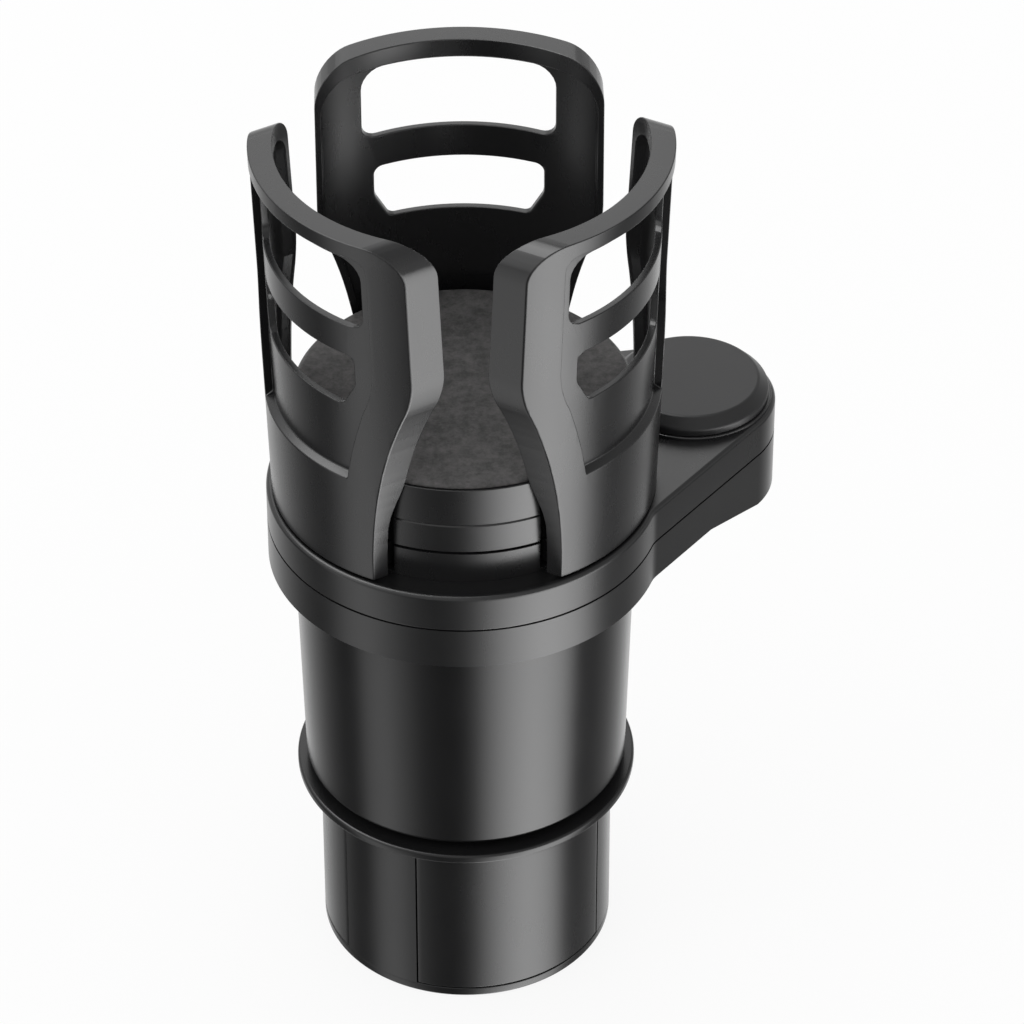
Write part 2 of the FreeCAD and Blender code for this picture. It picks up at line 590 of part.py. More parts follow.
def build_lower_arm():
    low = "lower_start - arm_drop"
    solid = arm_plan("low_out", "0", low, "lower_rise + arm_drop", True)
    under = prism("low_under", "XZ_Plane", [
        ("-2 * collar_radius", f"{low} - over"), ("-2 * collar_radius", "lower_start"),
        ("ramp_start", "lower_start"), ("ramp_end", low), ("pivot_reach + 2 * arm_end", low),
        ("pivot_reach + 2 * arm_end", f"{low} - over")], "4 * collar_radius", True)
    bore = cylinder("low_bore", "barrel_top_radius + screw_slack", f"barrel_top - ({low})", low)
    mouth = cylinder("low_mouth", "barrel_top_radius - barrel_wall", FAR, "lower_start")
    # The arm is a shell that is open below, with a boss for the post.
    pocket_low = f"{low} - over"
    pocket_height = f"{LOWER_TOP} - deck_thick - ({pocket_low})"
    inner = arm_plan("low_in", "shell_wall", pocket_low, pocket_height, False)
    keep_ring = cylinder("low_keep_ring", "collar_radius - shell_wall / 2", f"{pocket_height} + 2 * over", f"{pocket_low} - over")
    keep_boss = cylinder("low_keep_boss", "pivot_boss", f"{pocket_height} + 2 * over", f"{pocket_low} - over", x="pivot_reach")
    pocket = cut("low_pocket", inner, keep_ring, keep_boss)
    post_hole = cylinder("low_post_hole", "post_radius + screw_slack", FAR, low, x="pivot_reach")
    flange_sink = cylinder("low_flange_sink", "post_flange + screw_slack", "post_flange_thick + arm_drop",
                           low, x="pivot_reach")
    washer_sink = cylinder("low_washer_sink", "thrust_radius + part_gap", "thrust_thick",
                           f"{LOWER_TOP} - thrust_thick + 2 * run_fit", x="pivot_reach")
    screw_hole = cylinder("low_screw_hole", "screw_radius + screw_slack", "lower_rise",
                          "barrel_top - over", x="barrel_top_radius - barrel_wall / 2")
    head_sink = cylinder("low_head_sink", "screw_head + screw_slack", "head_depth + over",
                         f"{LOWER_TOP} - head_depth", x="barrel_top_radius - barrel_wall / 2")
    arm = cut("low_arm", solid, under, pocket, post_hole, flange_sink, washer_sink)
    turned_arm = turn(arm, size("arm_angle"))
    holes = fuse("low_screw_one", screw_hole, head_sink)
    return node("lower_arm", cut("lower_arm", turned_arm, bore, mouth,
                                 *spread("low_screw_holes", holes, CLAW_ANGLES)))


def build_arm_screws():
    head_z = f"({LOWER_TOP} - head_depth)"
    return node("arm_screws", screws("arm_screws", head_z, CLAW_ANGLES,
                                     "barrel_top_radius - barrel_wall / 2", downwards=True))


def build_pivot():
    post = cylinder("post_shaft", "post_radius", f"{POST_TOP} - lower_start", "lower_start", PIVOT_X, PIVOT_Y)
    flange = cylinder("post_flange_disc", "post_flange", "post_flange_thick", "lower_start", PIVOT_X, PIVOT_Y)
    bore = cylinder("post_bore", "bolt_radius + screw_slack", "thread_length + thread_spare + over",
                    f"{POST_TOP} - thread_length - thread_spare", PIVOT_X, PIVOT_Y)
    node("pivot_post", cut("pivot_post", fuse("post_body", post, flange), bore))
    node("thrust_washer", tube("thrust_washer", "thrust_radius", "post_radius + part_gap", "thrust_thick",
                               f"({LOWER_TOP} - thrust_thick + 2 * run_fit)", PIVOT_X, PIVOT_Y))
    node("wave_washer", tube("wave_washer", "pivot_washer_radius - washer_thick", "post_radius + part_gap", "wave_thick",
                             f"({DECK_LOW} + run_fit)", PIVOT_X, PIVOT_Y))
    node("pivot_washer", tube("pivot_washer", "pivot_washer_radius", "bolt_radius + screw_slack", "washer_thick",
                              POST_TOP, PIVOT_X, PIVOT_Y))
    head = cylinder("pivot_screw_head", "bolt_head", "bolt_head_depth", f"{POST_TOP} + washer_thick", PIVOT_X, PIVOT_Y)
    shank = cylinder("pivot_screw_shank", "bolt_radius", "washer_thick + thread_length", f"{POST_TOP} - thread_length",
                     PIVOT_X, PIVOT_Y)
    node("pivot_screw", fuse("pivot_screw", head, shank))


def build_upper_arm():
    solid = arm_plan("up_out", "0", UPPER_LOW, "upper_rise", True)

    def is_upper_edge(edge):
        return all(abs(point.Point.z - size(RIM_TOP)) < ANGLE_TOLERANCE for point in edge.Vertexes)

    soft = rounded("up_soft", solid, "rim_round", is_upper_edge)
    ring = cylinder("up_ring", "ring_radius", "ring_rise", RIM_TOP, x="pivot_reach")
    whole = fuse("up_whole", soft, ring)
    recess = cylinder("up_recess", "collar_radius - rim_width", FAR, DECK_TOP)
    inner = arm_plan("up_in", "shell_wall", f"{UPPER_LOW} - over", "upper_rise - deck_thick + over", False)
    keep_boss = cylinder("up_keep_boss", "pivot_boss", FAR, "0", x="pivot_reach")
    hollow = cut("up_hollow", inner, keep_boss)
    bore = cylinder("up_bore", "post_radius + run_fit", FAR, "0", x="pivot_reach")
    sink = cylinder("up_sink", "cap_face - cap_wall", FAR, DECK_LOW, x="pivot_reach")
    body = turn(cut("up_body", whole, recess, hollow, bore, sink), size("arm_angle"))
    # Bosses for the cover's screws hang from the deck.
    boss = cylinder("up_boss", "screw_boss", f"{DECK_LOW} - {UPPER_LOW} - floor_thick",
                    f"{UPPER_LOW} + floor_thick", x="floor_screw_reach")
    boss_hole = cylinder("up_boss_hole", "screw_radius + screw_slack", "screw_length",
                         f"{UPPER_LOW} - over", x="floor_screw_reach")
    hub_hole = cylinder("up_hub_hole", "screw_radius + screw_slack", FAR, UPPER_LOW, x="hub_screw_reach")
    return node("upper_arm", cut("upper_arm", fuse("up_bossed", body, *spread("up_bosses", boss, CLAW_ANGLES)),
                                 *spread("up_boss_holes", boss_hole, CLAW_ANGLES),
                                 *spread("up_hub_holes", hub_hole, LAND_ANGLES)))


def build_holder_floor():
    disc = cylinder("floor_disc", "collar_radius - shell_wall - part_gap", "floor_thick", UPPER_LOW)
    hole = cylinder("floor_hole", "screw_radius + screw_slack", "floor_thick + 2 * over", f"{UPPER_LOW} - over",
                    x="floor_screw_reach")
    sink = cylinder("floor_sink", "screw_head + screw_slack", "head_depth / 2 + over", f"{UPPER_LOW} - over",
                    x="floor_screw_reach")
    boss_room = cylinder("floor_boss_room", "pivot_boss + part_gap", FAR, "0", PIVOT_X, PIVOT_Y)
    holes = fuse("floor_hole_one", hole, sink)
    node("holder_floor", cut("holder_floor", disc, boss_room, *spread("floor_holes", holes, CLAW_ANGLES)))
    head = cylinder("floor_screw_head", "screw_head", "head_depth / 2", UPPER_LOW, x="floor_screw_reach")
    shank = cylinder("floor_screw_shank", "screw_radius", "upper_rise - deck_thick - screw_tip_room", UPPER_LOW,
                     x="floor_screw_reach")
    one = fuse("floor_screw_one", head, shank)
    node("floor_screws", finish_group("floor_screws", spread("floor_screw_at", one, CLAW_ANGLES)))


def build_guide_hub():
    disc = cylinder("hub_disc", "hub_radius", "hub_rise", DECK_TOP)
    channel_z = f"({DECK_TOP} + hub_floor)"
    channel = box("hub_channel", "2 * hub_radius", "2 * (foot_half + part_gap)", "hub_rise + over",
                  "0", "-foot_half - part_gap", channel_z)
    lands = cut("hub_lands", disc, *spread("hub_channels", channel, CLAW_ANGLES),
                *tier_hollows("hub", channel_z, "hub_rise"))
    post = cylinder("hub_post_rod", "hub_post", f"{CAM_TOP} - {channel_z} - post_drop", channel_z)
    thread = cylinder("hub_thread", "bolt_radius + screw_slack", "thread_length + screw_tip_room + over",
                      f"{CAM_TOP} - post_drop - thread_length - screw_tip_room")
    screw_hole = cylinder("hub_screw_hole", "screw_radius + screw_slack", "hub_rise - screw_tip_room / 2",
                          f"{DECK_TOP} - over", x="hub_screw_reach")
    node("guide_hub", cut("guide_hub", fuse("hub_body", lands, post), thread,
                          *spread("hub_screw_holes", screw_hole, LAND_ANGLES)))
    head = cylinder("hub_screw_head", "screw_head", "head_depth", f"{DECK_LOW} - head_depth", x="hub_screw_reach")
    shank = cylinder("hub_screw_shank", "screw_radius", "hub_rise - thread_spare", DECK_LOW, x="hub_screw_reach")
    one = fuse("hub_screw_one", head, shank)
    node("hub_screws", finish_group("hub_screws", spread("hub_screw_at", one, LAND_ANGLES)))


def tier_hollows(prefix, z, height):
    """The hollows of a tier, between the lands and behind the closed claws."""
    cutters = []
    for number, degrees in enumerate(CLAW_ANGLES, start=1):
        outer = sector(f"{prefix}_hollow_out_{number}", "hub_radius + over", height, z, "120 - 2 * land_half", degrees)
        inner = cylinder(f"{prefix}_hollow_in_{number}", "hub_radius - grip_depth", f"{height} + 2 * over", f"{z} - over")
        cutters.append(cut(f"{prefix}_hollow_{number}", outer, inner))
    return cutters


def build_cam_ring():
    floor_top = f"({CAM_LOW} + cam_thick)"
    boss_top = f"({CAM_TOP} - post_drop - run_fit)"
    ring = turned("cam_ring_body", [
        ("hub_post + run_fit", CAM_LOW), ("hub_radius - tier_chamfer", CAM_LOW),
        ("hub_radius", f"{CAM_LOW} + tier_chamfer"), ("hub_radius", f"{CAM_TOP} - tier_chamfer"),
        ("hub_radius - tier_chamfer", CAM_TOP), ("hub_radius - tier_wall", CAM_TOP),
        ("hub_radius - tier_wall", floor_top), ("hub_post + neck_collar", floor_top),
        ("hub_post + neck_collar", boss_top), ("hub_post + run_fit", boss_top)])
    slots = [spiral_slot(f"cam_ring_slot_{number}", "claw_pin_reach", "claw_travel", "platform_turn",
                         degrees, f"{CAM_LOW} - over", "cam_thick + 2 * over")
             for number, degrees in enumerate(CLAW_ANGLES, start=1)]
    hole = cylinder("cam_ring_hole", "screw_radius + screw_slack", "cam_thick + 2 * over", f"{CAM_LOW} - over",
                    x="platform_screw_reach")
    sink = cylinder("cam_ring_sink", "screw_head + screw_slack", "head_depth + over", f"{CAM_LOW} - over",
                    x="platform_screw_reach")
    holes = fuse("cam_ring_hole_one", hole, sink)
    return node("cam_ring", cut("cam_ring", ring, *slots, *tier_hollows("cam_ring", f"{CAM_LOW} - over", "cam_rise + 2 * over"),
                                *spread("cam_ring_holes", holes, LAND_ANGLES)))


def build_platform_top():
    inner_top = f"({TOP_TOP} - top_skin)"
    top = turned("top_body", [
        ("0", inner_top), ("hub_radius - tier_wall", inner_top), ("hub_radius - tier_wall", CAM_TOP),
        ("hub_radius - tier_chamfer", CAM_TOP), ("hub_radius", f"{CAM_TOP} + tier_chamfer"),
        ("hub_radius", f"{TOP_TOP} - tier_chamfer"), ("hub_radius - tier_chamfer", TOP_TOP), ("0", TOP_TOP)])
    boss_low = f"({CAM_LOW} + cam_thick)"
    boss = cylinder("top_boss", "screw_boss", f"{inner_top} - {boss_low}", boss_low, x="platform_screw_reach")
    hole = cylinder("top_boss_hole", "screw_radius + screw_slack", "screw_length", boss_low,
                    x="platform_screw_reach")
    node("platform_top", cut("platform_top", fuse("top_bossed", top, *spread("top_bosses", boss, LAND_ANGLES)),
                             *spread("top_boss_holes", hole, LAND_ANGLES),
                             *tier_hollows("top", f"{CAM_TOP} - over", "top_rise + 2 * over")))
    node("platform_screws", screws("platform_screws", CAM_LOW, LAND_ANGLES, "platform_screw_reach"))
    washer_z = f"({CAM_TOP} - post_drop)"
    node("hub_washer", tube("hub_washer", "washer_radius + neck_collar", "bolt_radius + screw_slack",
                            "washer_thick", washer_z))
    head = cylinder("hub_screw_centre_head", "bolt_head", "bolt_head_depth", f"{washer_z} + washer_thick")
    shank = cylinder("hub_screw_centre_shank", "bolt_radius", "washer_thick + thread_length", f"{washer_z} - thread_length")
    node("centre_screw", fuse("centre_screw", head, shank))
    node("seat_pad", cylinder("seat_pad", "pad_radius", "pad_thick", TOP_TOP))


def build_pivot_cap():
    low = f"({RIM_TOP} + ring_rise)"
    top = f"({low} + cap_rise)"
    slope = "(cap_radius - cap_face)"
    cap = turned("pivot_cap", [
        ("cap_face - cap_wall", low), ("cap_radius", low), ("cap_radius", f"{top} - {slope}"),
        ("cap_face", top), ("0", top), ("0", f"{top} - cap_wall"),
        ("cap_face - cap_wall", f"{top} - cap_wall")])
    return node("pivot_cap", at(cap, PIVOT_X, PIVOT_Y))


def claw_form(prefix, inset, low, high, corner):
    """The front view of a claw, drawn in by inset and carried through the wall.

    The sides are upright above the shoulder. Below it they run in along a large arc
    that ends upright at the claw's bottom.
    """
    bottom = f"({CLAW_LOW} + {low})"
    height = f"({high} - {low})"
    block = box(prefix + "_block", "2 * claw_top_radius", f"2 * (claw_half - {inset})", height,
                "0", f"{inset} - claw_half", bottom)
    top_z = size(f"{bottom} + {height}")

    def is_top_corner(edge):
        points = [vertex.Point for vertex in edge.Vertexes]
        level = all(abs(point.z - top_z) < ANGLE_TOLERANCE for point in points)
        along = abs(points[0].y - points[-1].y) < ANGLE_TOLERANCE
        return level and along

    soft = rounded(prefix + "_soft", block, corner, is_top_corner)
    waist = "(claw_half - claw_foot_half)"
    sweep = f"((shoulder_rise * shoulder_rise + {waist} * {waist}) / (2 * {waist}))"
    sides = []
    for side, sign in (("left", "-"), ("right", "")):
        item = cylinder(f"{prefix}_{side}", f"{sweep} + {inset}", "4 * claw_top_radius")
        item.Placement.Rotation = FreeCAD.Rotation(FreeCAD.Vector(0, 1, 0), 90)
        at(item, "-claw_top_radius", f"{sign}(claw_foot_half + {sweep})", CLAW_LOW)
        above = box(f"{prefix}_{side}_above", FAR, FAR, FAR, "-claw_top_radius", f"-{HALF_FAR}",
                    f"{CLAW_LOW} + shoulder_rise")
        sides.append(cut(f"{prefix}_{side}_low", item, above))
    return cut(prefix, soft, *sides)


def build_claw(number, degrees):
    prefix = f"claw_{number}_"
    outer = cone(prefix + "outer", "claw_low_radius", "claw_top_radius", "claw_rise", CLAW_LOW)
    inner = cone(prefix + "inner", "claw_low_radius - claw_wall", "claw_top_radius - claw_wall",
                 "claw_rise", CLAW_LOW)
    shell = cut(prefix + "shell", outer, inner)
    front = claw_form(prefix + "front", "0", "0", "claw_rise", "claw_corner")
    relief = cylinder(prefix + "relief", "hub_radius + part_gap", f"{TOP_TOP} - {CLAW_LOW} + over", f"{CLAW_LOW} - over")
    wall = cut(prefix + "wall", common(prefix + "wall_full", shell, front), relief)
    panel_front = claw_form(prefix + "panel", "border", "panel_low", "panel_high", "high_corner")
    panel_back = cone(prefix + "panel_back", "claw_low_radius - panel_depth", "claw_top_radius - panel_depth",
                      "claw_rise", CLAW_LOW)
    panel = cut(prefix + "panel_cut", panel_front, panel_back)
    hollow_front = claw_form(prefix + "hollow", "hollow_lip", "hollow_low", "hollow_high", "hollow_corner")
    hollow_back = cone(prefix + "hollow_back", "claw_low_radius - claw_wall + hollow_depth",
                       "claw_top_radius - claw_wall + hollow_depth", "claw_rise", CLAW_LOW)
    hollow = common(prefix + "hollow_cut", hollow_front, hollow_back)

    def across(edge):
        points = [vertex.Point for vertex in edge.Vertexes]
        return abs(points[0].y - points[-1].y) + abs(points[0].z - points[-1].z) < ANGLE_TOLERANCE

    high = box(prefix + "high_block", "2 * claw_top_radius", "2 * high_half", "high_top - high_low",
               "0", "-high_half", f"{CLAW_LOW} + high_low")
    high_window = rounded(prefix + "high", high, "high_corner", across)
    low = prism(prefix + "low_block", "YZ_Plane", [
        ("-low_sill_half", f"{CLAW_LOW} + low_low"), ("low_sill_half", f"{CLAW_LOW} + low_low"),
        ("low_half", f"{CLAW_LOW} + low_knee"), ("low_half", f"{CLAW_LOW} + low_top"),
        ("-low_half", f"{CLAW_LOW} + low_top"), ("-low_half", f"{CLAW_LOW} + low_knee")],
        "2 * claw_top_radius")
    low_window = rounded(prefix + "low", low, "low_corner", across)
    foot_length = "claw_low_radius - claw_wall / 2 - foot_reach"
    foot = box(prefix + "foot", foot_length, "2 * foot_half", "foot_rise", "foot_reach", "-foot_half", CLAW_LOW)
    foot_end = common(prefix + "foot_end", foot, cylinder(prefix + "foot_room", "claw_low_radius - foot_inset", FAR))
    pocket = box(prefix + "foot_pocket", "foot_pocket", "2 * (foot_half - foot_side)", "foot_rise - foot_skin + over",
                 "claw_pin_reach + foot_pocket_lead", "-foot_half + foot_side", f"{CLAW_LOW} - over")
    pin = cylinder(prefix + "pin", "pin_radius", f"{CAM_LOW} + cam_thick - {FOOT_TOP}", FOOT_TOP, x="claw_pin_reach")
    body = fuse(prefix + "body", wall, foot_end, pin)
    claw = cut(f"claw_{number}", body, panel, hollow, high_window, low_window, pocket)
    return node(f"claw_{number}", turn(claw, degrees))


build_base_plate()
build_base_cup()
build_base_screws()
for shoe_number, shoe_angle in enumerate(SHOE_ANGLES, start=1):
    build_grip_shoe(shoe_number, shoe_angle)
build_shoe_cam("lower_cam", LOW_CAM)
build_shoe_cam("upper_cam", HIGH_CAM)
build_spindle()
build_spindle_fasteners()
build_barrel()
build_lower_arm()
build_arm_screws()
build_pivot()
build_upper_arm()
build_holder_floor()
build_guide_hub()
build_cam_ring()
build_platform_top()
build_pivot_cap()
for claw_number, claw_angle in enumerate(CLAW_ANGLES, start=1):
    build_claw(claw_number, claw_angle)

doc.recompute()
faulty = [item.Name for item in doc.Objects if "Invalid" in item.State or "Error" in item.State]
if faulty:
    raise RuntimeError("these did not build: " + ", ".join(faulty))
for item in NODES:
    if item.Shape.isNull() or not item.Shape.isValid():
        raise RuntimeError(item.Label + " has no sound shape")
os.makedirs("parts", exist_ok=True)
for item in NODES:
    item.Shape.exportStep(f"parts/{item.Label}.step")
    print(item.Label, len(item.Shape.Solids), round(item.Shape.Volume, 1))
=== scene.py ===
"""Swing-out cup holder for a car: the visible pieces, finishes and studio.

Every piece is modelled in place, in metres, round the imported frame. Sizes in the
classes below are millimetres. The lower cup's foot is the origin, the claws stand
at 90, 210 and 330 degrees, and the arm points at 30 degrees.
"""
import logging
import math
from dataclasses import dataclass
from enum import Enum
from functools import cache
from typing import Callable, Iterable, Sequence

import bmesh
import bpy
from mathutils import Matrix, Vector


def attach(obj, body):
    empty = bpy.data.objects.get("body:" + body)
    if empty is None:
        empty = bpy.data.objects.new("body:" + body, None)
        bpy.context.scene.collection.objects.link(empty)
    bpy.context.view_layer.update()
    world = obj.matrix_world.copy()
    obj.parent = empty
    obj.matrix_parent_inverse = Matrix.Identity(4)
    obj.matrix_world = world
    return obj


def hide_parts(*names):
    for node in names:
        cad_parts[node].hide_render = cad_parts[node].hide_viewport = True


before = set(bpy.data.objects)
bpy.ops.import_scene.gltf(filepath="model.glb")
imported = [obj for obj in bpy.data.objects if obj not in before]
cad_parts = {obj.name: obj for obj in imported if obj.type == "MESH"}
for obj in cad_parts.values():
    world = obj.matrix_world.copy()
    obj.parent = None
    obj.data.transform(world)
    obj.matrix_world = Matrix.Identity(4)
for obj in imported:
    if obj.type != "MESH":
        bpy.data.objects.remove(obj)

LOG = logging.getLogger("cup_holder")
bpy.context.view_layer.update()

MM = 0.001
PLACE = 0.02
"""How near a vertex has to be to a named place, in millimetres."""
DOUBLE = 0.002
"""Vertices of a solid that are nearer together than this are one, in millimetres."""
SEAM = 0.01
"""The same where a wire closes or meets its mirrored half."""
PAST = 1.0
"""How far a cutter runs past the face that it opens, in millimetres."""
FAR = 5.0
"""How far a cutter runs past both ends where it goes right through."""
BITE = 0.2
"""How deep a fused piece stands in the one that carries it, in millimetres."""
ROUND = 160
"""Facets of a large round."""

CLAW_ANGLES = (90.0, 210.0, 330.0)
SHOE_ANGLES = (291.0, 51.0, 171.0)
COLUMN_ANGLES = (351.0, 111.0, 231.0)
ARM_ANGLE = 30.0

Piece = bpy.types.Object
Material = bpy.types.Material
Point = tuple[float, float, float]
Tone = tuple[float, float, float]
Corner = tuple[float, float, float]
"""Radius, height and rounding of one corner of a turned profile."""


# -------- modelling


def rest() -> None:
    """Leaves edit mode and deselects everything."""
    if bpy.context.object and bpy.context.object.mode != "OBJECT":
        bpy.ops.object.mode_set(mode="OBJECT")
    bpy.ops.object.select_all(action="DESELECT")


def take(piece: Piece) -> None:
    """Makes a piece the active object and the only selected one.

    Args:
        piece: The object to work on.
    """
    rest()
    bpy.context.view_layer.objects.active = piece
    piece.select_set(True)


def open_up(piece: Piece) -> None:
    """Goes into edit mode on a piece, with nothing of it selected.

    Args:
        piece: The object to edit.
    """
    take(piece)
    bpy.ops.object.mode_set(mode="EDIT")
    bpy.ops.mesh.select_all(action="DESELECT")


class Part(Enum):
    """What a pick selects in edit mode."""

    VERTEX = "VERT"
    EDGE = "EDGE"


def pick(piece: Piece, part: Part, wanted: Callable[..., bool]) -> None:
    """Selects the elements of an edited mesh that a test accepts.

    Args:
        piece: The object in edit mode.
        part: Vertices or edges.
        wanted: Gets a vertex's place, or an edge's two ends, in millimetres.
    """
    bpy.ops.mesh.select_mode(type=part.value)
    bpy.ops.mesh.select_all(action="DESELECT")
    mesh = bmesh.from_edit_mesh(piece.data)
    for element in mesh.verts if part is Part.VERTEX else mesh.edges:
        ends = (element,) if part is Part.VERTEX else element.verts
        if wanted(*(vertex.co / MM for vertex in ends)):
            element.select_set(True)
    mesh.select_flush_mode()
    bmesh.update_edit_mesh(piece.data)


def bevel_edges(piece: Piece, width: float, segments: int, wanted: Callable[..., bool]) -> None:
    """Bevels the edges of a piece that a test accepts.

    Args:
        piece: The object, in object mode before and after.
        width: How far from the edge the bevel starts.
        segments: Straight pieces in it.
        wanted: Gets an edge's two ends, in millimetres.
    """
    open_up(piece)
    pick(piece, Part.EDGE, wanted)
    bpy.ops.mesh.bevel(affect="EDGES", offset=width * MM, segments=segments)
    rest()


def merge(distance: float) -> None:
    """Merges the vertices of the edited mesh that are nearer together than a distance."""
    bpy.ops.mesh.select_all(action="SELECT")
    bpy.ops.mesh.remove_doubles(threshold=distance * MM)


def settle() -> Piece:
    """Applies the active object's place, turn and scale to its mesh and returns it."""
    bpy.ops.object.transform_apply(location=True, rotation=True, scale=True)
    return bpy.context.object


def tidy_mesh(piece: Piece) -> Piece:
    """Merges double vertices and turns every face outwards.

    Args:
        piece: The object to clean.

    Returns:
        The same object, in object mode.
    """
    open_up(piece)
    merge(DOUBLE)
    bpy.ops.mesh.normals_make_consistent(inside=False)
    rest()
    return piece


class Wire:
    """A wire drawn from vertex to vertex in edit mode, in millimetres."""

    def __init__(self, name: str, start: Point) -> None:
        """Starts a wire.

        Args:
            name: Name of the new object.
            start: Place of the first vertex.
        """
        rest()
        bpy.ops.mesh.primitive_plane_add(size=MM, location=(0, 0, 0))
        self.piece = bpy.context.object
        self.piece.name = self.piece.data.name = name
        bpy.ops.object.mode_set(mode="EDIT")
        bpy.ops.mesh.select_mode(type="VERT")
        bpy.ops.mesh.select_all(action="SELECT")
        bpy.ops.mesh.merge(type="CENTER")
        self.start = Vector(start)
        self.here = Vector(start)
        bpy.ops.transform.translate(value=self.here * MM)

    def line(self, *points: Point) -> "Wire":
        """Draws straight runs.

        Args:
            *points: The vertices that they go through.

        Returns:
            The same wire.
        """
        for point in points:
            step = Vector(point) - self.here
            bpy.ops.mesh.extrude_region_move(TRANSFORM_OT_translate={"value": step * MM})
            self.here = Vector(point)
        return self

    def arc(self, centre: Point, degrees: float, steps: int, axis: Point = (0, 0, 1)) -> "Wire":
        """Draws an arc from the last vertex.

        Args:
            centre: Middle of the arc.
            degrees: Its angle, anticlockwise as seen against the axis.
            steps: Number of straight pieces.
            axis: The axis that it turns about.

        Returns:
            The same wire.
        """
        bpy.ops.mesh.spin(
            steps=steps, angle=-math.radians(degrees), center=Vector(centre) * MM, axis=axis
        )
        turn = Matrix.Rotation(math.radians(degrees), 3, Vector(axis))
        self.here = Vector(centre) + turn @ (self.here - Vector(centre))
        return self

    def close(self) -> "Wire":
        """Draws the last run, back to the start, and returns the wire."""
        self.line(tuple(self.start))
        merge(SEAM)
        return self

    def soften(self, place: Point, offset: float, segments: int) -> "Wire":
        """Rounds the corner at a place.

        Args:
            place: The corner.
            offset: How far from the corner the rounding starts.
            segments: Number of straight pieces in it.

        Returns:
            The same wire.
        """
        corner = Vector(place)
        pick(self.piece, Part.VERTEX, lambda co: (co - corner).length < PLACE)
        bpy.ops.mesh.bevel(affect="VERTICES", offset=offset * MM, segments=segments)
        return self

    def round_off(self, places: Sequence[Point], radii: Sequence[float], segments: int) -> "Wire":
        """Rounds the corners of the drawn outline.

        Args:
            places: Its corners in order.
            radii: Radius of each corner, nought for a sharp one.
            segments: Number of straight pieces in each rounding.

        Returns:
            The same wire.
        """
        for number, (place, radius) in enumerate(zip(places, radii)):
            if radius:
                before = Vector(places[number - 1]) - Vector(place)
                after = Vector(places[(number + 1) % len(places)]) - Vector(place)
                half_turn = (math.pi - before.angle(after)) / 2
                self.soften(place, radius * math.tan(half_turn), segments)
        return self

    def mirror(self) -> "Wire":
        """Adds the half mirrored across Y.

        Returns:
            The same wire, now closed.
        """
        rest()
        shape = self.piece.modifiers.new("other_half", "MIRROR")
        shape.use_axis = (False, True, False)
        shape.merge_threshold = SEAM * MM
        apply_modifiers(self.piece)
        open_up(self.piece)
        return self

    def slab(self, rise: Point) -> Piece:
        """Fills the closed wire and gives it thickness.

        Args:
            rise: Direction and length of the thickness.

        Returns:
            The finished solid, in object mode.
        """
        bpy.ops.mesh.select_all(action="SELECT")
        bpy.ops.mesh.edge_face_add()
        bpy.ops.mesh.extrude_region_move(TRANSFORM_OT_translate={"value": Vector(rise) * MM})
        return tidy_mesh(self.piece)


def apply_modifiers(piece: Piece) -> None:
    """Applies all modifiers of a piece in order.

    Args:
        piece: The object that has them.
    """
    take(piece)
    for modifier in list(piece.modifiers):
        bpy.ops.object.modifier_apply(modifier=modifier.name)


def profile_wire(name: str, corners: Sequence[Corner], closed: bool, segments: int) -> Wire:
    """Draws half a section in the XZ plane and rounds its corners.

    Args:
        name: Name of the new object.
        corners: Radius, height and rounding of each corner.
        closed: Whether the last corner joins the first.
        segments: Straight pieces in each rounding.

    Returns:
        The wire, in edit mode.
    """
    places = [(radius, 0, height) for radius, height, _ in corners]
    wire = Wire(name, places[0]).line(*places[1:])
    if closed:
        wire.close()
    return wire.round_off(places, [rounding for _, _, rounding in corners], segments)


def band(inner: float, outer: float, low: float, high: float) -> list[Corner]:
    """Section of a plain band between two radii and two levels."""
    return [(inner, low, 0), (outer, low, 0), (outer, high, 0), (inner, high, 0)]


def lathe(
    name: str, corners: Sequence[Corner], closed: bool = False, steps: int = ROUND, segments: int = 4
) -> Piece:
    """Turns a half section about the main axis.

    Args:
        name: Name of the new object.
        corners: Radius, height and rounding of each corner.
        closed: Whether the last corner joins the first, as on a ring.
        steps: Number of facets round the axis.
        segments: Straight pieces in each rounding.

    Returns:
        The turned solid.
    """
    wire = profile_wire(name, corners, closed, segments)
    bpy.ops.mesh.select_all(action="SELECT")
    bpy.ops.mesh.spin(steps=steps, angle=2 * math.pi, center=(0, 0, 0), axis=(0, 0, 1))
    return tidy_mesh(wire.piece)


def sector(name: str, corners: Sequence[Corner], span: float, steps: int) -> Piece:
    """Sweeps a closed section through part of a turn, with its middle at nought degrees.

    Args:
        name: Name of the new object.
        corners: Radius, height and rounding of each corner.
        span: Its angle, in degrees.
        steps: Number of facets along it.

    Returns:
        The swept solid.
    """
    profile_wire(name, corners, True, 3)
    bpy.ops.mesh.select_all(action="SELECT")
    bpy.ops.mesh.edge_face_add()
    bpy.ops.mesh.spin(steps=steps, angle=-math.radians(span), center=(0, 0, 0), axis=(0, 0, 1))
    return turned(tidy_mesh(bpy.context.object), -span / 2)


def turned(piece: Piece, degrees: float) -> Piece:
    """Turns a piece's mesh about the main axis.

    Args:
        piece: The object to turn.
        degrees: The angle, anticlockwise from above.

    Returns:
        The same object, its own rotation still nought.
    """
    take(piece)
    piece.rotation_euler.z = math.radians(degrees)
    return settle()


def moved(piece: Piece, step: Point) -> Piece:
    """Moves a piece's mesh.

    Args:
        piece: The object to move.
        step: The way, in millimetres.

    Returns:
        The same object, its own place still nought.
    """
    take(piece)
    piece.location = Vector(step) * MM
    return settle()


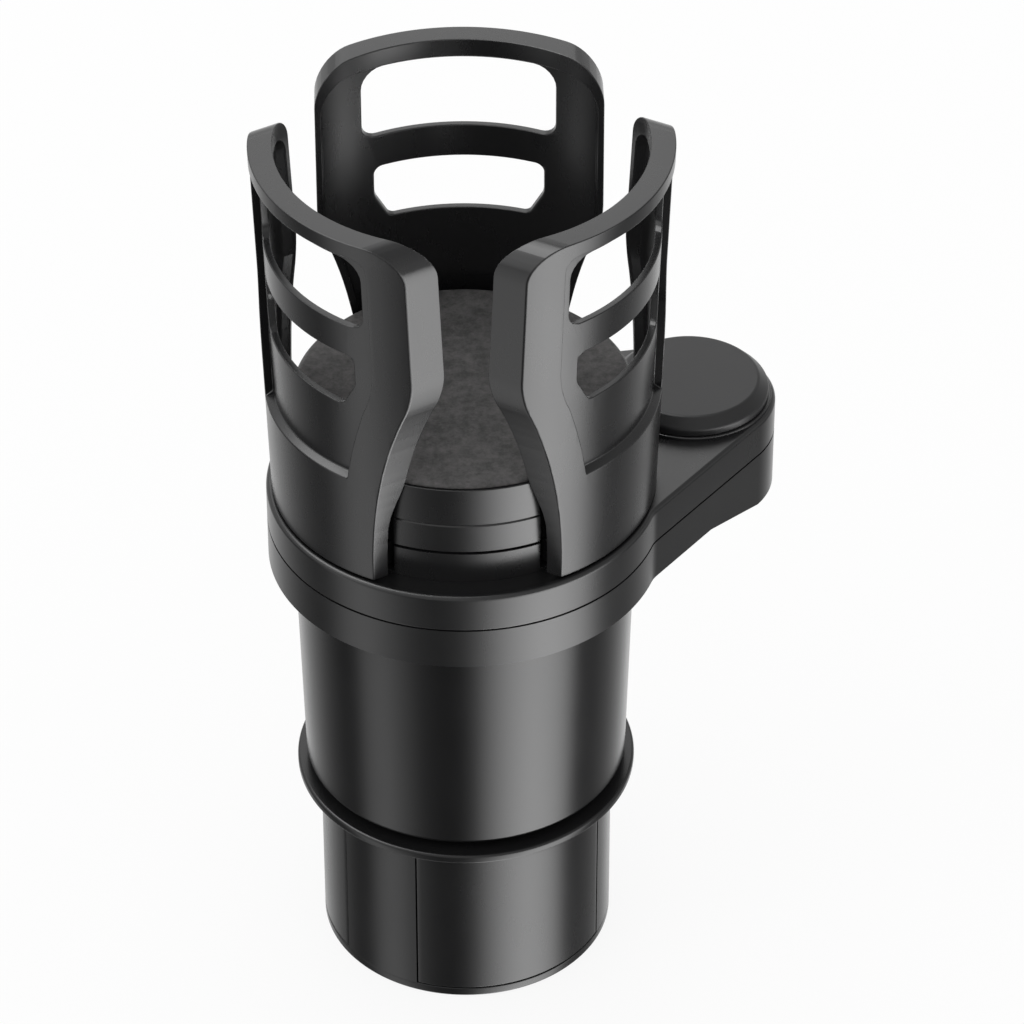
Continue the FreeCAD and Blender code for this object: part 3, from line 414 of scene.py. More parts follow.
def rod(
    name: str, radius: float, low: float, high: float, x: float = 0, y: float = 0, steps: int = 48
) -> Piece:
    """A round bar along the main axis, used as a cutter or fused to a piece.

    Args:
        name: Name of the new object.
        radius: Its radius.
        low: Its lower end.
        high: Its upper end.
        x: Place of its axis.
        y: Place of its axis.
        steps: Number of facets.

    Returns:
        The bar.
    """
    rest()
    bpy.ops.mesh.primitive_cylinder_add(
        vertices=steps,
        radius=radius * MM,
        depth=(high - low) * MM,
        location=(x * MM, y * MM, (low + high) / 2 * MM),
    )
    bpy.context.object.name = name
    return settle()


def block(name: str, low: Point, high: Point) -> Piece:
    """A bar with six flat sides, used as a cutter or fused to a piece.

    Args:
        name: Name of the new object.
        low: Its lowest corner.
        high: Its highest corner.

    Returns:
        The bar.
    """
    rest()
    bpy.ops.mesh.primitive_cube_add(size=1)
    piece = bpy.context.object
    piece.name = name
    piece.scale = (Vector(high) - Vector(low)) * MM
    piece.location = (Vector(high) + Vector(low)) / 2 * MM
    return settle()


def copies(piece: Piece, angles: Iterable[float]) -> list[Piece]:
    """Copies a piece round the main axis, each copy with its own mesh.

    Args:
        piece: The piece at nought degrees, which is turned to the first angle.
        angles: The directions.

    Returns:
        One object for each angle.
    """
    made = []
    for degrees in angles:
        take(piece)
        bpy.ops.object.duplicate(linked=False)
        made.append(turned(bpy.context.object, degrees))
    bpy.data.objects.remove(piece)
    return made


def joined(name: str, pieces: Sequence[Piece]) -> Piece:
    """Joins several objects into one.

    Args:
        name: Its name.
        pieces: The objects, which are used up.

    Returns:
        The one object.
    """
    rest()
    for piece in pieces:
        piece.select_set(True)
    bpy.context.view_layer.objects.active = pieces[0]
    if len(pieces) > 1:
        bpy.ops.object.join()
    pieces[0].name = pieces[0].data.name = name
    return pieces[0]


def rods(
    name: str, radius: float, low: float, high: float, reach: float, angles: Iterable[float]
) -> Piece:
    """Equal round bars in a ring about the main axis, joined into one tool."""
    return joined(name, copies(rod(name, radius, low, high, reach), angles))


class Way(Enum):
    """How a second solid changes a first one."""

    CUT = "DIFFERENCE"
    FUSE = "UNION"
    KEEP = "INTERSECT"


def combine(piece: Piece, way: Way, tools: Sequence[Piece]) -> Piece:
    """Cuts tools from a piece, or fuses them to it, one after the other.

    Args:
        piece: The piece to change.
        way: Cut, fuse or keep what both hold.
        tools: The other solids, which are used up.

    Returns:
        The changed piece.
    """
    for tool in tools:
        change = piece.modifiers.new("change", "BOOLEAN")
        change.operation = way.value
        change.solver = "EXACT"
        change.object = tool
        apply_modifiers(piece)
        bpy.data.objects.remove(tool)
    return tidy_mesh(piece)


def dress(piece: Piece, rounding: float = 0, segments: int = 3, sharp: float = 38.0) -> Piece:
    """Rounds a piece's edges and smooths its shading.

    Args:
        piece: The piece.
        rounding: Width of the rounding, or nought for none.
        segments: Straight pieces in it.
        sharp: Edges that turn by more than this many degrees are rounded.

    Returns:
        The same piece.
    """
    take(piece)
    if rounding:
        soft = piece.modifiers.new("rounding", "BEVEL")
        soft.width = rounding * MM
        soft.segments = segments
        soft.limit_method = "ANGLE"
        soft.angle_limit = math.radians(sharp)
        soft.use_clamp_overlap = True
        soft.miter_outer = "MITER_ARC"
        apply_modifiers(piece)
    bpy.ops.object.shade_smooth_by_angle(angle=math.radians(sharp))
    even = piece.modifiers.new("even_shading", "WEIGHTED_NORMAL")
    even.keep_sharp = True
    even.weight = 60
    apply_modifiers(piece)
    return piece


# -------- finishes


def operator(operation: str, swapped: bool = False) -> Callable[["Signal", object], "Signal"]:
    """Makes one of Signal's operators.

    Args:
        operation: What the Math node does.
        swapped: Whether the signal is the second of the two values.

    Returns:
        The method, which adds a Math node and returns its result.
    """
    def apply(signal: "Signal", other: object) -> "Signal":
        """Adds the Math node on a signal and another value."""
        first, second = (other, signal) if swapped else (signal, other)
        return signal.tree.add("Math", {"operation": operation}, {0: first, 1: second})

    return apply


@dataclass(frozen=True)
class Signal:
    """An output socket of a shader, for use in sums, products and comparisons."""

    tree: "Shade"
    socket: bpy.types.NodeSocket

    __add__ = operator("ADD")
    __radd__ = operator("ADD", True)
    __sub__ = operator("SUBTRACT")
    __rsub__ = operator("SUBTRACT", True)
    __mul__ = operator("MULTIPLY")
    __rmul__ = operator("MULTIPLY", True)
    __gt__ = operator("GREATER_THAN")


class Shade:
    """The node tree of one material, or of the world."""

    def __init__(self, name: str, world: bpy.types.World | None = None) -> None:
        """Makes a material with a Principled shader, or takes the world's tree.

        Args:
            name: The material's name.
            world: The world, where no material is wanted.
        """
        self.material = world or bpy.data.materials.new(name)
        self.material.use_nodes = True
        self.nodes = self.material.node_tree.nodes
        self.links = self.material.node_tree.links
        self.surface = self.nodes["Background" if world else "Principled BSDF"]
        self.output = self.nodes["World Output" if world else "Material Output"]

    def add(
        self, kind: str, settings: dict | None = None, values: dict | None = None, out: int | str = 0
    ) -> Signal:
        """Adds a node.

        Args:
            kind: The node's type, without its ShaderNode prefix.
            settings: Its settings, such as an operation, or a ramp's stops.
            values: A number, colour or signal for each input, by place or name.
            out: The output that is wanted.

        Returns:
            That output.
        """
        node = self.nodes.new("ShaderNode" + kind)
        for name, value in (settings or {}).items():
            if name == "stops":
                ramp = node.color_ramp.elements
                while len(ramp) < len(value):
                    ramp.new(1.0)
                for element, (position, colour) in zip(ramp, value):
                    element.position = position
                    element.color = (*colour, 1.0)
            else:
                setattr(node, name, value)
        for name, value in (values or {}).items():
            self.feed(node.inputs[name], value)
        return Signal(self, node.outputs[out])

    def feed(self, socket: bpy.types.NodeSocket, value: object) -> None:
        """Links a signal to a socket, or writes a value on it.

        Args:
            socket: The input.
            value: A signal, a number or a colour.
        """
        if isinstance(value, Signal):
            self.links.new(value.socket, socket)
        else:
            socket.default_value = value

    def place(self, scale: Point = (1, 1, 1)) -> Signal:
        """The object coordinates, stretched by a factor along each axis."""
        where = self.add("TexCoord", out="Object")
        return self.add("Mapping", {}, {"Vector": where, "Scale": scale}, "Vector")

    def noise(
        self, where: Signal, per_metre: float, detail: float = 2.0, rough: float = 0.5
    ) -> Signal:
        """Soft noise between nought and one, with its grain given per metre."""
        values = {"Vector": where, "Scale": per_metre, "Detail": detail, "Roughness": rough}
        return self.add("TexNoise", {}, values, "Fac")

    def ramp(self, share: Signal, stops: Sequence[tuple[float, Tone]]) -> Signal:
        """A colour that runs through the stops with the share."""
        return self.add("ValToRGB", {"stops": stops}, {"Fac": share}, "Color")

    def between(self, share: Signal, first: Tone, second: Tone) -> Signal:
        """A colour that runs from the first to the second with the share."""
        return self.ramp(share, [(0.0, first), (1.0, second)])

    def glow(self, colour: object, strength: object) -> Signal:
        """A plain light of that colour and strength, for the world or the floor."""
        return self.add("Emission", {}, {"Color": colour, "Strength": strength}, "Emission")

    def mix(self, share: Signal, first: Signal, second: Signal) -> Signal:
        """The first shader where the share is nought, the second where it is one."""
        return self.add("MixShader", {}, {0: share, 1: first, 2: second}, "Shader")

    def relief(self, height: Signal, depth: float, strength: float) -> Signal:
        """A bump of the given depth in millimetres."""
        values = {"Height": height, "Strength": strength, "Distance": depth * MM}
        return self.add("Bump", {}, values, "Normal")

    def finish(self, **values: object) -> Material:
        """Sets the shader's sockets.

        Args:
            **values: A signal, number or colour for each, with underscores in its name.

        Returns:
            The material.
        """
        for name, value in values.items():
            self.feed(self.surface.inputs[name.replace("_", " ")], value)
        return self.material


def toned(colour: Tone, factor: float) -> Tone:
    """A colour made darker or brighter by a factor."""
    return tuple(value * factor for value in colour)


@dataclass(frozen=True)
class MouldedPlastic:
    """Satin plastic with the fine grain of a spark-eroded mould."""

    name: str
    colour: Tone = (0.0095, 0.0095, 0.0099)
    roughness: float = 0.27
    specular: float = 0.36
    cloud_grain: float = 45.0
    flow_grain: float = 210.0
    flow_stretch: float = 0.3
    grain: float = 2600.0
    grain_depth: float = 0.012
    darkest: float = 0.84
    brightest: float = 1.18

    def material(self) -> Material:
        """Builds the material, which reads object coordinates only.

        Returns:
            The material.
        """
        shade = Shade(self.name)
        where = shade.place()
        cloud = shade.noise(where, self.cloud_grain, 3.0)
        flow = shade.noise(shade.place((1, 1, self.flow_stretch)), self.flow_grain, 4.0, 0.6)
        grain = shade.noise(where, self.grain, 2.0)
        coarse = shade.noise(where, self.grain / 4, 1.0)
        low, high = toned(self.colour, self.darkest), toned(self.colour, self.brightest)
        return shade.finish(
            Base_Color=shade.between(cloud * 0.6 + flow * 0.4, low, high),
            Roughness=self.roughness - 0.05 + 0.06 * cloud + 0.05 * flow,
            Normal=shade.relief(grain * 0.7 + coarse * 0.3, self.grain_depth, 0.35),
            Specular_IOR_Level=self.specular,
        )


@dataclass(frozen=True)
class PadFoam:
    """Dense rubbery foam with a finely mottled, dark grey face."""

    name: str
    dark: Tone = (0.050, 0.049, 0.049)
    light: Tone = (0.124, 0.120, 0.119)
    cells: float = 900.0
    fleck_grain: float = 620.0
    patch_grain: float = 150.0
    contrast: float = 3.6
    relief_depth: float = 0.09

    def material(self) -> Material:
        """Builds the material, which reads object coordinates only.

        Returns:
            The material.
        """
        shade = Shade(self.name)
        where = shade.place()
        values = {"Vector": where, "Scale": self.cells, "Randomness": 1.0}
        cells = shade.add("TexVoronoi", {"feature": "F1"}, values, "Distance")
        fleck = shade.noise(where, self.fleck_grain, 3.0, 0.7)
        patch = shade.noise(where, self.patch_grain, 4.0, 0.6)
        tone = (patch * 0.4 + fleck * 0.6 - 0.5) * self.contrast + 0.5 - cells * 0.1
        return shade.finish(
            Base_Color=shade.between(tone, self.dark, self.light),
            Roughness=0.72 + fleck * 0.2,
            Normal=shade.relief(fleck * 0.6 - cells * 0.5, self.relief_depth, 0.5),
            Specular_IOR_Level=0.25,
        )


@dataclass(frozen=True)
class Steel:
    """Turned and rolled steel, bright or oiled black."""

    name: str
    colour: Tone = (0.46, 0.46, 0.47)
    roughness: float = 0.32
    line_grain: float = 900.0
    stain_grain: float = 160.0
    darkest: float = 0.8

    def material(self) -> Material:
        """Builds the material, which reads object coordinates only.

        Returns:
            The material.
        """
        shade = Shade(self.name)
        lines = shade.noise(shade.place((1, 1, 6)), self.line_grain, 2.0)
        stain = shade.noise(shade.place(), self.stain_grain, 3.0)
        return shade.finish(
            Base_Color=shade.between(stain, toned(self.colour, self.darkest), self.colour),
            Roughness=self.roughness - 0.06 + 0.14 * stain,
            Normal=shade.relief(lines, 0.01, 0.3),
            Metallic=1.0,
        )


@dataclass(frozen=True)
class WasherPlastic:
    """Milky, waxy plastic of the plain bearing washers."""

    name: str
    colour: Tone = (0.62, 0.61, 0.56)
    cloud_grain: float = 240.0
    scuff_grain: float = 1200.0
    darkest: float = 0.85

    def material(self) -> Material:
        """Builds the material, which reads object coordinates only.

        Returns:
            The material.
        """
        shade = Shade(self.name)
        cloud = shade.noise(shade.place(), self.cloud_grain, 3.0)
        scuff = shade.noise(shade.place((1, 1, 5)), self.scuff_grain, 2.0)
        return shade.finish(
            Base_Color=shade.between(cloud, toned(self.colour, self.darkest), self.colour),
            Roughness=0.4 + scuff * 0.15,
            Normal=shade.relief(scuff, 0.01, 0.3),
            Specular_IOR_Level=0.4,
        )


FINISHES = {finish.name: finish for finish in (
    MouldedPlastic("cup_plastic", roughness=0.25),
    MouldedPlastic("shoe_plastic", roughness=0.26),
    MouldedPlastic("barrel_plastic", roughness=0.22),
    MouldedPlastic("arm_plastic", roughness=0.28, specular=0.47),
    MouldedPlastic("claw_plastic", colour=(0.0105, 0.0105, 0.011), specular=0.46),
    MouldedPlastic("tier_plastic", specular=0.5),
    MouldedPlastic("cap_plastic", colour=(0.013, 0.013, 0.0135), roughness=0.42),
    MouldedPlastic("inner_plastic", colour=(0.014, 0.014, 0.0145), roughness=0.45),
    PadFoam("pad_foam"),
    Steel("screw_steel"),
    Steel("post_steel", colour=(0.5, 0.5, 0.51), roughness=0.26),
    WasherPlastic("washer_plastic"),
)}


@cache
def finish_of(slot: str) -> Material:
    """The material of one of the record's slots, made on first use."""
    return FINISHES[slot].material()


def hand_over(piece: Piece, slot: str, body: str, *nodes: str) -> None:
    """Gives a finished piece its material, its body and the nodes that it stands for.

    Args:
        piece: The finished piece.
        slot: The record's material slot.
        body: The body that it rides on.
        *nodes: The CAD nodes that it replaces.
    """
    piece.data.materials.clear()
    piece.data.materials.append(finish_of(slot))
    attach(piece, body)
    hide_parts(*nodes)
    LOG.info("%s: %d faces, on %s", piece.name, len(piece.data.polygons), body)


# -------- lower cup


@dataclass
class LowerCup:
    """Base plate, flanged cage and the three shoes that spread in a car's cup well."""

    radius: float = 35.0
    wall: float = 2.4
    plate_top: float = 2.4
    flange_low: float = 47.3
    flange_top: float = 49.5
    flange_radius: float = 40.5
    neck_bore: float = 9.08
    neck_collar: float = 11.48
    column_span: float = 35.0
    shoe_span: float = 84.02
    gap: float = 0.3
    screw_reach: float = 29.8
    boss_radius: float = 3.2
    hole_radius: float = 1.25
    sink_radius: float = 2.25
    sink_top: float = 1.7
    rib_inner: float = 13.0
    rib_outer: float = 25.0
    rib_side: float = 6.3
    rib_thick: float = 2.0
    tongue_thick: float = 3.0
    tongue_half: float = 6.0
    tongue_inner: float = 12.0
    pin_reach: float = 16.0
    pin_radius: float = 2.0
    edge: float = 0.35
    rib_edge: float = 0.2
    foot_round: float = 0.6
    top_round: float = 0.25
    flange_round: float = 0.5
    rim_round: float = 0.7
    column_facets: int = 16
    shoe_facets: int = 44

    def ribs(self, low: float, high: float) -> Piece:
        """The pairs of guide ribs beside the shoes' tongues.

        Args:
            low: Their lower level.
            high: Their upper level.

        Returns:
            All six, as one piece.
        """
        made = []
        for side in (1, -1):
            near, far = sorted((side * self.rib_side, side * (self.rib_side + self.rib_thick)))
            rib = block("rib", (self.rib_inner, near, low), (self.rib_outer, far, high))
            made += copies(rib, SHOE_ANGLES)
        return dress(joined("ribs", made), self.rib_edge, 2)

    def plate(self) -> Piece:
        """The base plate with its sunk screw holes.

        Returns:
            The plate with its ribs.
        """
        top, reach = self.plate_top, self.screw_reach
        plate = lathe("base_plate_moulding", [
            (0, 0, 0), (self.radius, 0, self.foot_round), (self.radius, top, self.top_round), (0, top, 0)])
        combine(plate, Way.CUT, [
            rods("holes", self.hole_radius, -PAST, top + PAST, reach, COLUMN_ANGLES),
            rods("sinks", self.sink_radius, -PAST, self.sink_top, reach, COLUMN_ANGLES)])
        dress(plate)
        return joined("base_plate_moulding", [plate, self.ribs(top - BITE, top + self.tongue_thick)])

    def cage(self) -> Piece:
        """The flange, the neck and the three fixed columns.

        Returns:
            All of it, as one piece.
        """
        neck_low = self.flange_low - self.tongue_thick - self.gap
        column_top = self.flange_low + BITE
        flange = lathe("base_cup_moulding", [
            (self.neck_bore, neck_low, 0), (self.neck_collar, neck_low, 0),
            (self.neck_collar, self.flange_low, 0),
            (self.flange_radius, self.flange_low, self.flange_round),
            (self.flange_radius, self.flange_top, self.rim_round), (self.neck_bore, self.flange_top, 0),
        ], closed=True)
        dress(flange)
        section = band(self.radius - self.wall, self.radius, self.plate_top, column_top)
        column = sector("column", section, self.column_span, self.column_facets)
        boss = rod("boss", self.boss_radius, self.plate_top, column_top, self.screw_reach)
        dress(combine(column, Way.FUSE, [boss]), self.edge, 2)
        ribs = self.ribs(self.flange_low - self.tongue_thick, column_top)
        return joined("base_cup_moulding", [flange, *copies(column, COLUMN_ANGLES), ribs])

    def shoe(self) -> Piece:
        """One shoe at nought degrees, with its two tongues and pins.

        Returns:
            The shoe.
        """
        low, high = self.plate_top + self.gap, self.flange_low - self.gap
        section = band(self.radius - self.wall, self.radius, low, high)
        shoe = sector("shoe", section, self.shoe_span, self.shoe_facets)
        half, thick = self.tongue_half, self.tongue_thick
        reach = self.radius - self.wall / 2
        tools = [block("tongue", (self.tongue_inner, -half, base), (reach, half, base + thick))
                 for base in (low, high - thick)]
        length = thick + 2 * self.gap
        tools += [rod("pin", self.pin_radius, base, end, self.pin_reach) for base, end in (
            (low + thick - BITE, low + thick + length), (high - thick - length, high - thick + BITE))]
        return dress(combine(shoe, Way.FUSE, tools), self.edge, 2)

    def build(self) -> None:
        """Builds the plate, the cage and the three shoes."""
        hand_over(self.plate(), "cup_plastic", "base", "base_plate")
        hand_over(self.cage(), "cup_plastic", "base", "base_cup")
        for number, shoe in enumerate(copies(self.shoe(), SHOE_ANGLES), start=1):
            shoe.name = shoe.data.name = f"grip_shoe_moulding_{number}"
            hand_over(shoe, "shoe_plastic", f"grip_{number}", f"grip_shoe_{number}")


# -------- barrel


@dataclass
class Barrel:
    """The tapered barrel, which is the second cup place when the holder swings out."""

    foot: float = 49.8
    top: float = 119.3
    lip_radius: float = 35.2
    lip_top: float = 52.0
    low_radius: float = 38.3
    top_radius: float = 40.0
    wall: float = 3.0
    floor_top: float = 53.8
    neck_radius: float = 9.0
    neck_low: float = 43.7
    socket_radius: float = 6.1
    socket_top: float = 49.0
    bead: float = 0.3
    lip_round: float = 0.5
    shoulder_round: float = 1.6
    floor_round: float = 3.0
    facets: int = 192

    def build(self) -> None:
        """Turns the barrel and hands it over."""
        barrel = lathe("barrel_moulding", [
            (0, self.socket_top, 0), (self.socket_radius, self.socket_top, 0),
            (self.socket_radius, self.neck_low, 0), (self.neck_radius, self.neck_low, self.bead),
            (self.neck_radius, self.foot, 0), (self.lip_radius, self.foot, self.lip_round),
            (self.low_radius, self.lip_top, self.shoulder_round),
            (self.top_radius, self.top, self.bead), (self.top_radius - self.wall, self.top, self.bead),
            (self.low_radius - self.wall, self.floor_top, self.floor_round),
            (0, self.floor_top, 0)], steps=self.facets)
        dress(barrel)
        hand_over(barrel, "barrel_plastic", "barrel", "barrel")


# -------- arms


@dataclass
class ArmPlan:
    """Plan of a round collar with its tapering arm, drawn along +X."""

    collar: float = 45.8
    root: float = 43.1
    end: float = 20.25
    reach: float = 62.4
    blend: float = 9.0
    collar_facets: int = 88
    blend_facets: int = 6
    end_facets: int = 40

    def slab(self, name: str, inset: float, low: float, high: float) -> Piece:
        """Draws the plan and gives it its height.

        Args:
            name: Name of the new object.
            inset: How far inside the outer edge it runs.
            low: Its lower level.
            high: Its upper level.

        Returns:
            The solid, turned to the arm's direction.
        """
        collar, root, end = self.collar - inset, self.root - inset, self.end - inset
        blend = self.blend + inset
        lean = (root - end) / self.reach
        side = math.sqrt(1 - lean * lean)
        along = math.sqrt((collar + blend) ** 2 - (root + blend) ** 2)
        middle = Vector((
            (root + blend) * lean + along * side, (root + blend) * side - along * lean, low))
        leave = math.degrees(math.atan2(middle.y, middle.x))
        slope = math.degrees(math.atan2(side, lean))
        wire = Wire(name, (-collar, 0, low))
        wire.arc((0, 0, low), -(180 - leave), self.collar_facets)
        wire.arc(tuple(middle), slope - leave, self.blend_facets)
        wire.line((self.reach + end * lean, end * side, low))
        wire.arc((self.reach, 0, low), -slope, self.end_facets)
        wire.mirror()
        return turned(wire.slab((0, 0, high - low)), ARM_ANGLE)

    def pivot(self) -> tuple[float, float]:
        """Place of the pivot's axis."""
        turn = math.radians(ARM_ANGLE)
        return self.reach * math.cos(turn), self.reach * math.sin(turn)


@dataclass
class LowerArm:
    """Collar round the barrel's top, with the arm that carries the pivot."""

    plan: ArmPlan
    low: float = 106.9
    collar_low: float = 111.3
    top: float = 121.5
    barrel_top: float = 119.3
    barrel_radius: float = 40.05
    mouth_radius: float = 37.0
    ramp_start: float = 52.0
    ramp_end: float = 70.0
    shell: float = 2.2
    deck: float = 2.4
    boss: float = 15.0
    post_hole: float = 6.05
    flange_hole: float = 9.55
    flange_top: float = 113.3
    washer_hole: float = 13.3
    washer_low: float = 120.86
    screw_reach: float = 38.5
    screw_hole: float = 1.25
    hole_top: float = 121.0
    head_hole: float = 2.25
    head_low: float = 120.1
    edge: float = 0.4

    def under(self) -> Piece:
        """What is missing under the collar and the arm's slope.

        Returns:
            The cutter.
        """
        far, bottom = 3 * self.plan.collar, self.low - FAR
        wire = Wire("under", (-far, -far, bottom))
        wire.line((far, -far, bottom), (far, -far, self.low), (self.ramp_end, -far, self.low),
                  (self.ramp_start, -far, self.collar_low), (-far, -far, self.collar_low))
        wire.close()
        return turned(wire.slab((0, 2 * far, 0)), ARM_ANGLE)

    def pocket(self) -> Piece:
        """The hollow of the arm, open below, round the boss of the post.

        Returns:
            The cutter.
        """
        bottom, above = self.low - FAR, self.top + FAR
        hollow = self.plan.slab("pocket", self.shell, self.low - PAST, self.top - self.deck)
        return combine(hollow, Way.CUT, [
            rod("ring", self.plan.collar - self.shell / 2, bottom, above, steps=ROUND),
            rod("boss", self.boss, bottom, above, *self.plan.pivot())])

    def build(self) -> None:
        """Builds the lower arm and hands it over."""
        x, y = self.plan.pivot()
        bottom, above = self.low - FAR, self.top + FAR
        reach = self.screw_reach
        arm = self.plan.slab("lower_arm_moulding", 0, self.low, self.top)
        combine(arm, Way.CUT, [self.under(), self.pocket()])
        combine(arm, Way.CUT, [
            rod("bore", self.barrel_radius, bottom, self.barrel_top, steps=ROUND),
            rod("mouth", self.mouth_radius, bottom, above, steps=ROUND),
            rod("post", self.post_hole, bottom, above, x, y),
            rod("flange", self.flange_hole, bottom, self.flange_top, x, y),
            rod("washer", self.washer_hole, self.washer_low, above, x, y),
            rods("holes", self.screw_hole, self.barrel_top - PAST, self.hole_top, reach, CLAW_ANGLES),
            rods("heads", self.head_hole, self.head_low, self.top + PAST, reach, CLAW_ANGLES)])
        dress(arm, self.edge)
        hand_over(arm, "arm_plastic", "barrel", "lower_arm")


@dataclass
class UpperArm:
    """The swinging arm: deck, rim, seat ring of the cap and hollow underside."""

    plan: ArmPlan
    low: float = 121.8
    top: float = 131.0
    rim_round: float = 1.1
    seam_round: float = 0.35
    recess_round: float = 0.22
    recess_facets: int = 200
    sink_facets: int = 96
    ring_facets: int = 128
    rim_inner: float = 44.2
    recess: float = 130.4
    shell: float = 2.2
    deck_low: float = 128.6
    boss: float = 15.0
    bore: float = 6.08
    sink: float = 14.4
    ring: float = 19.3
    ring_top: float = 131.8
    cover_reach: float = 37.0
    cover_boss: float = 3.2
    cover_low: float = 123.6
    cover_top: float = 129.1

    def on_rim(self, place: Vector) -> bool:
        """Whether a point lies on the inner edge of the rim."""
        away = abs(math.hypot(place.x, place.y) - self.rim_inner)
        return place.z > self.top - PLACE and away < 0.1

    def build(self) -> None:
        """Builds the upper arm and hands it over."""
        x, y = self.plan.pivot()
        bottom, above = self.low - FAR, self.top + FAR
        arm = self.plan.slab("upper_arm_moulding", 0, self.low, self.top)
        bevel_edges(arm, self.rim_round, 5, lambda a, b: min(a.z, b.z) > self.top - PLACE)
        bevel_edges(arm, self.seam_round, 2, lambda a, b: max(a.z, b.z) < self.low + PLACE)
        hollow = self.plan.slab("hollow", self.shell, self.low - PAST, self.deck_low)
        combine(hollow, Way.CUT, [rod("boss", self.boss, bottom, above, x, y)])
        combine(arm, Way.CUT, [
            rod("recess", self.rim_inner, self.recess, above, steps=self.recess_facets),
            hollow,
            rod("bore", self.bore, bottom, above, x, y),
            rod("sink", self.sink, self.deck_low, above, x, y, self.sink_facets)])
        bevel_edges(arm, self.recess_round, 3, lambda a, b: self.on_rim(a) and self.on_rim(b))
        dress(arm)
        ring_low = self.deck_low + 1
        ring = lathe("ring", [
            (self.sink, ring_low, 0), (self.ring, ring_low, 0),
            (self.ring, self.ring_top, 0.3), (self.sink, self.ring_top, 0),
        ], closed=True, steps=self.ring_facets)
        dress(moved(ring, (x, y, 0)))
        boss = rod("boss", self.cover_boss, self.cover_low, self.cover_top, self.cover_reach)
        bosses = [dress(piece) for piece in copies(boss, CLAW_ANGLES)]
        whole = joined("upper_arm_moulding", [arm, ring, *bosses])
        hand_over(whole, "arm_plastic", "holder", "upper_arm")


@dataclass
class PivotCap:
    """The round cap over the pivot screw."""

    plan: ArmPlan
    low: float = 131.8
    top: float = 136.0
    radius: float = 18.6
    face: float = 16.2
    wall: float = 1.8
    facets: int = 128

    def build(self) -> None:
        """Turns the cap and hands it over."""
        x, y = self.plan.pivot()
        shoulder = self.top - (self.radius - self.face)
        inner, roof = self.face - self.wall, self.top - self.wall
        cap = lathe("pivot_cap_moulding", [
            (0, self.top, 0), (self.face, self.top, 1.2), (self.radius, shoulder, 1.0),
            (self.radius, self.low, 0.25), (inner, self.low, 0), (inner, roof, 0), (0, roof, 0),
        ], steps=self.facets, segments=5)
        dress(moved(cap, (x, y, 0)))
        hand_over(cap, "cap_plastic", "holder", "pivot_cap")


# -------- pedestal


@dataclass
class Pedestal:
    """The fixed tier, the turning platform and its seat pad."""

    radius: float = 39.0
    grip_depth: float = 1.5
    hollow_span: float = 70.0
    base_low: float = 130.4
    base_floor: float = 131.2
    base_top: float = 138.2
    channel_half: float = 21.3
    post_radius: float = 7.0
    post_top: float = 144.9
    tier_low: float = 146.4
    tier_top: float = 156.1
    tier_wall: float = 4.2
    skin: float = 2.2
    pad_radius: float = 38.4
    pad_top: float = 157.3
    pad_gap: float = 0.02
    edge: float = 0.45
    spare: float = 4.0
    hollow_facets: int = 36

    def hollows(self, low: float, high: float) -> list[Piece]:
        """The shallow hollows behind the closed claws.

        Args:
            low: Their lower level.
            high: Their upper level.

        Returns:
            One cutter for each claw.
        """
        section = band(self.radius - self.grip_depth, self.radius + self.spare, low, high)
        return copies(sector("hollow", section, self.hollow_span, self.hollow_facets), CLAW_ANGLES)

    def base_tier(self) -> Piece:
        """The lowest tier, with the channels that the claws' feet slide in.

        Returns:
            The tier with its post.
        """
        above = self.base_top + PAST
        tier = lathe("guide_hub_moulding", [
            (0, self.base_low, 0), (self.radius, self.base_low, 0), (self.radius, self.base_top, 0),
            (0, self.base_top, 0)])
        channel = block("channel", (0, -self.channel_half, self.base_floor),
                        (2 * self.radius, self.channel_half, above))
        combine(tier, Way.CUT, copies(channel, CLAW_ANGLES))
        combine(tier, Way.CUT, self.hollows(self.base_floor, above))
        dress(tier, self.edge)
        post = rod("post", self.post_radius, self.base_floor - BITE, self.post_top)
        return joined("guide_hub_moulding", [tier, dress(post, 0.3, 2)])

    def top_tier(self) -> Piece:
        """The turning platform's upper tier.

        Returns:
            The tier, hollow below.
        """
        inner, roof = self.radius - self.tier_wall, self.tier_top - self.skin
        tier = lathe("platform_top_moulding", [
            (0, roof, 0), (inner, roof, 0), (inner, self.tier_low, 0), (self.radius, self.tier_low, 0),
            (self.radius, self.tier_top, 0), (0, self.tier_top, 0)])
        combine(tier, Way.CUT, self.hollows(self.tier_low - PAST, self.tier_top + PAST))
        return dress(tier, self.edge)

    def pad(self) -> Piece:
        """The seat pad, crowned a little and soft at its edge.

        Returns:
            The pad.
        """
        low, rise = self.tier_top + self.pad_gap, self.pad_top - self.tier_top
        return dress(lathe("seat_pad_foam", [
            (0, low, 0), (self.pad_radius - 0.1, low, 0.2),
            (self.pad_radius, self.tier_top + 0.5 * rise, 0.4),
            (self.pad_radius - 0.55, self.pad_top - 0.1, 0.7),
            (self.pad_radius * 0.6, self.pad_top, 8), (0, self.pad_top, 0)], segments=5))

    def build(self) -> None:
        """Builds both tiers and the pad and hands them over."""
        hand_over(self.base_tier(), "tier_plastic", "holder", "guide_hub")
        hand_over(self.top_tier(), "tier_plastic", "platform", "platform_top")
        pad = self.pad()
        hand_over(pad, "pad_foam", "platform", "seat_pad")


# -------- claws


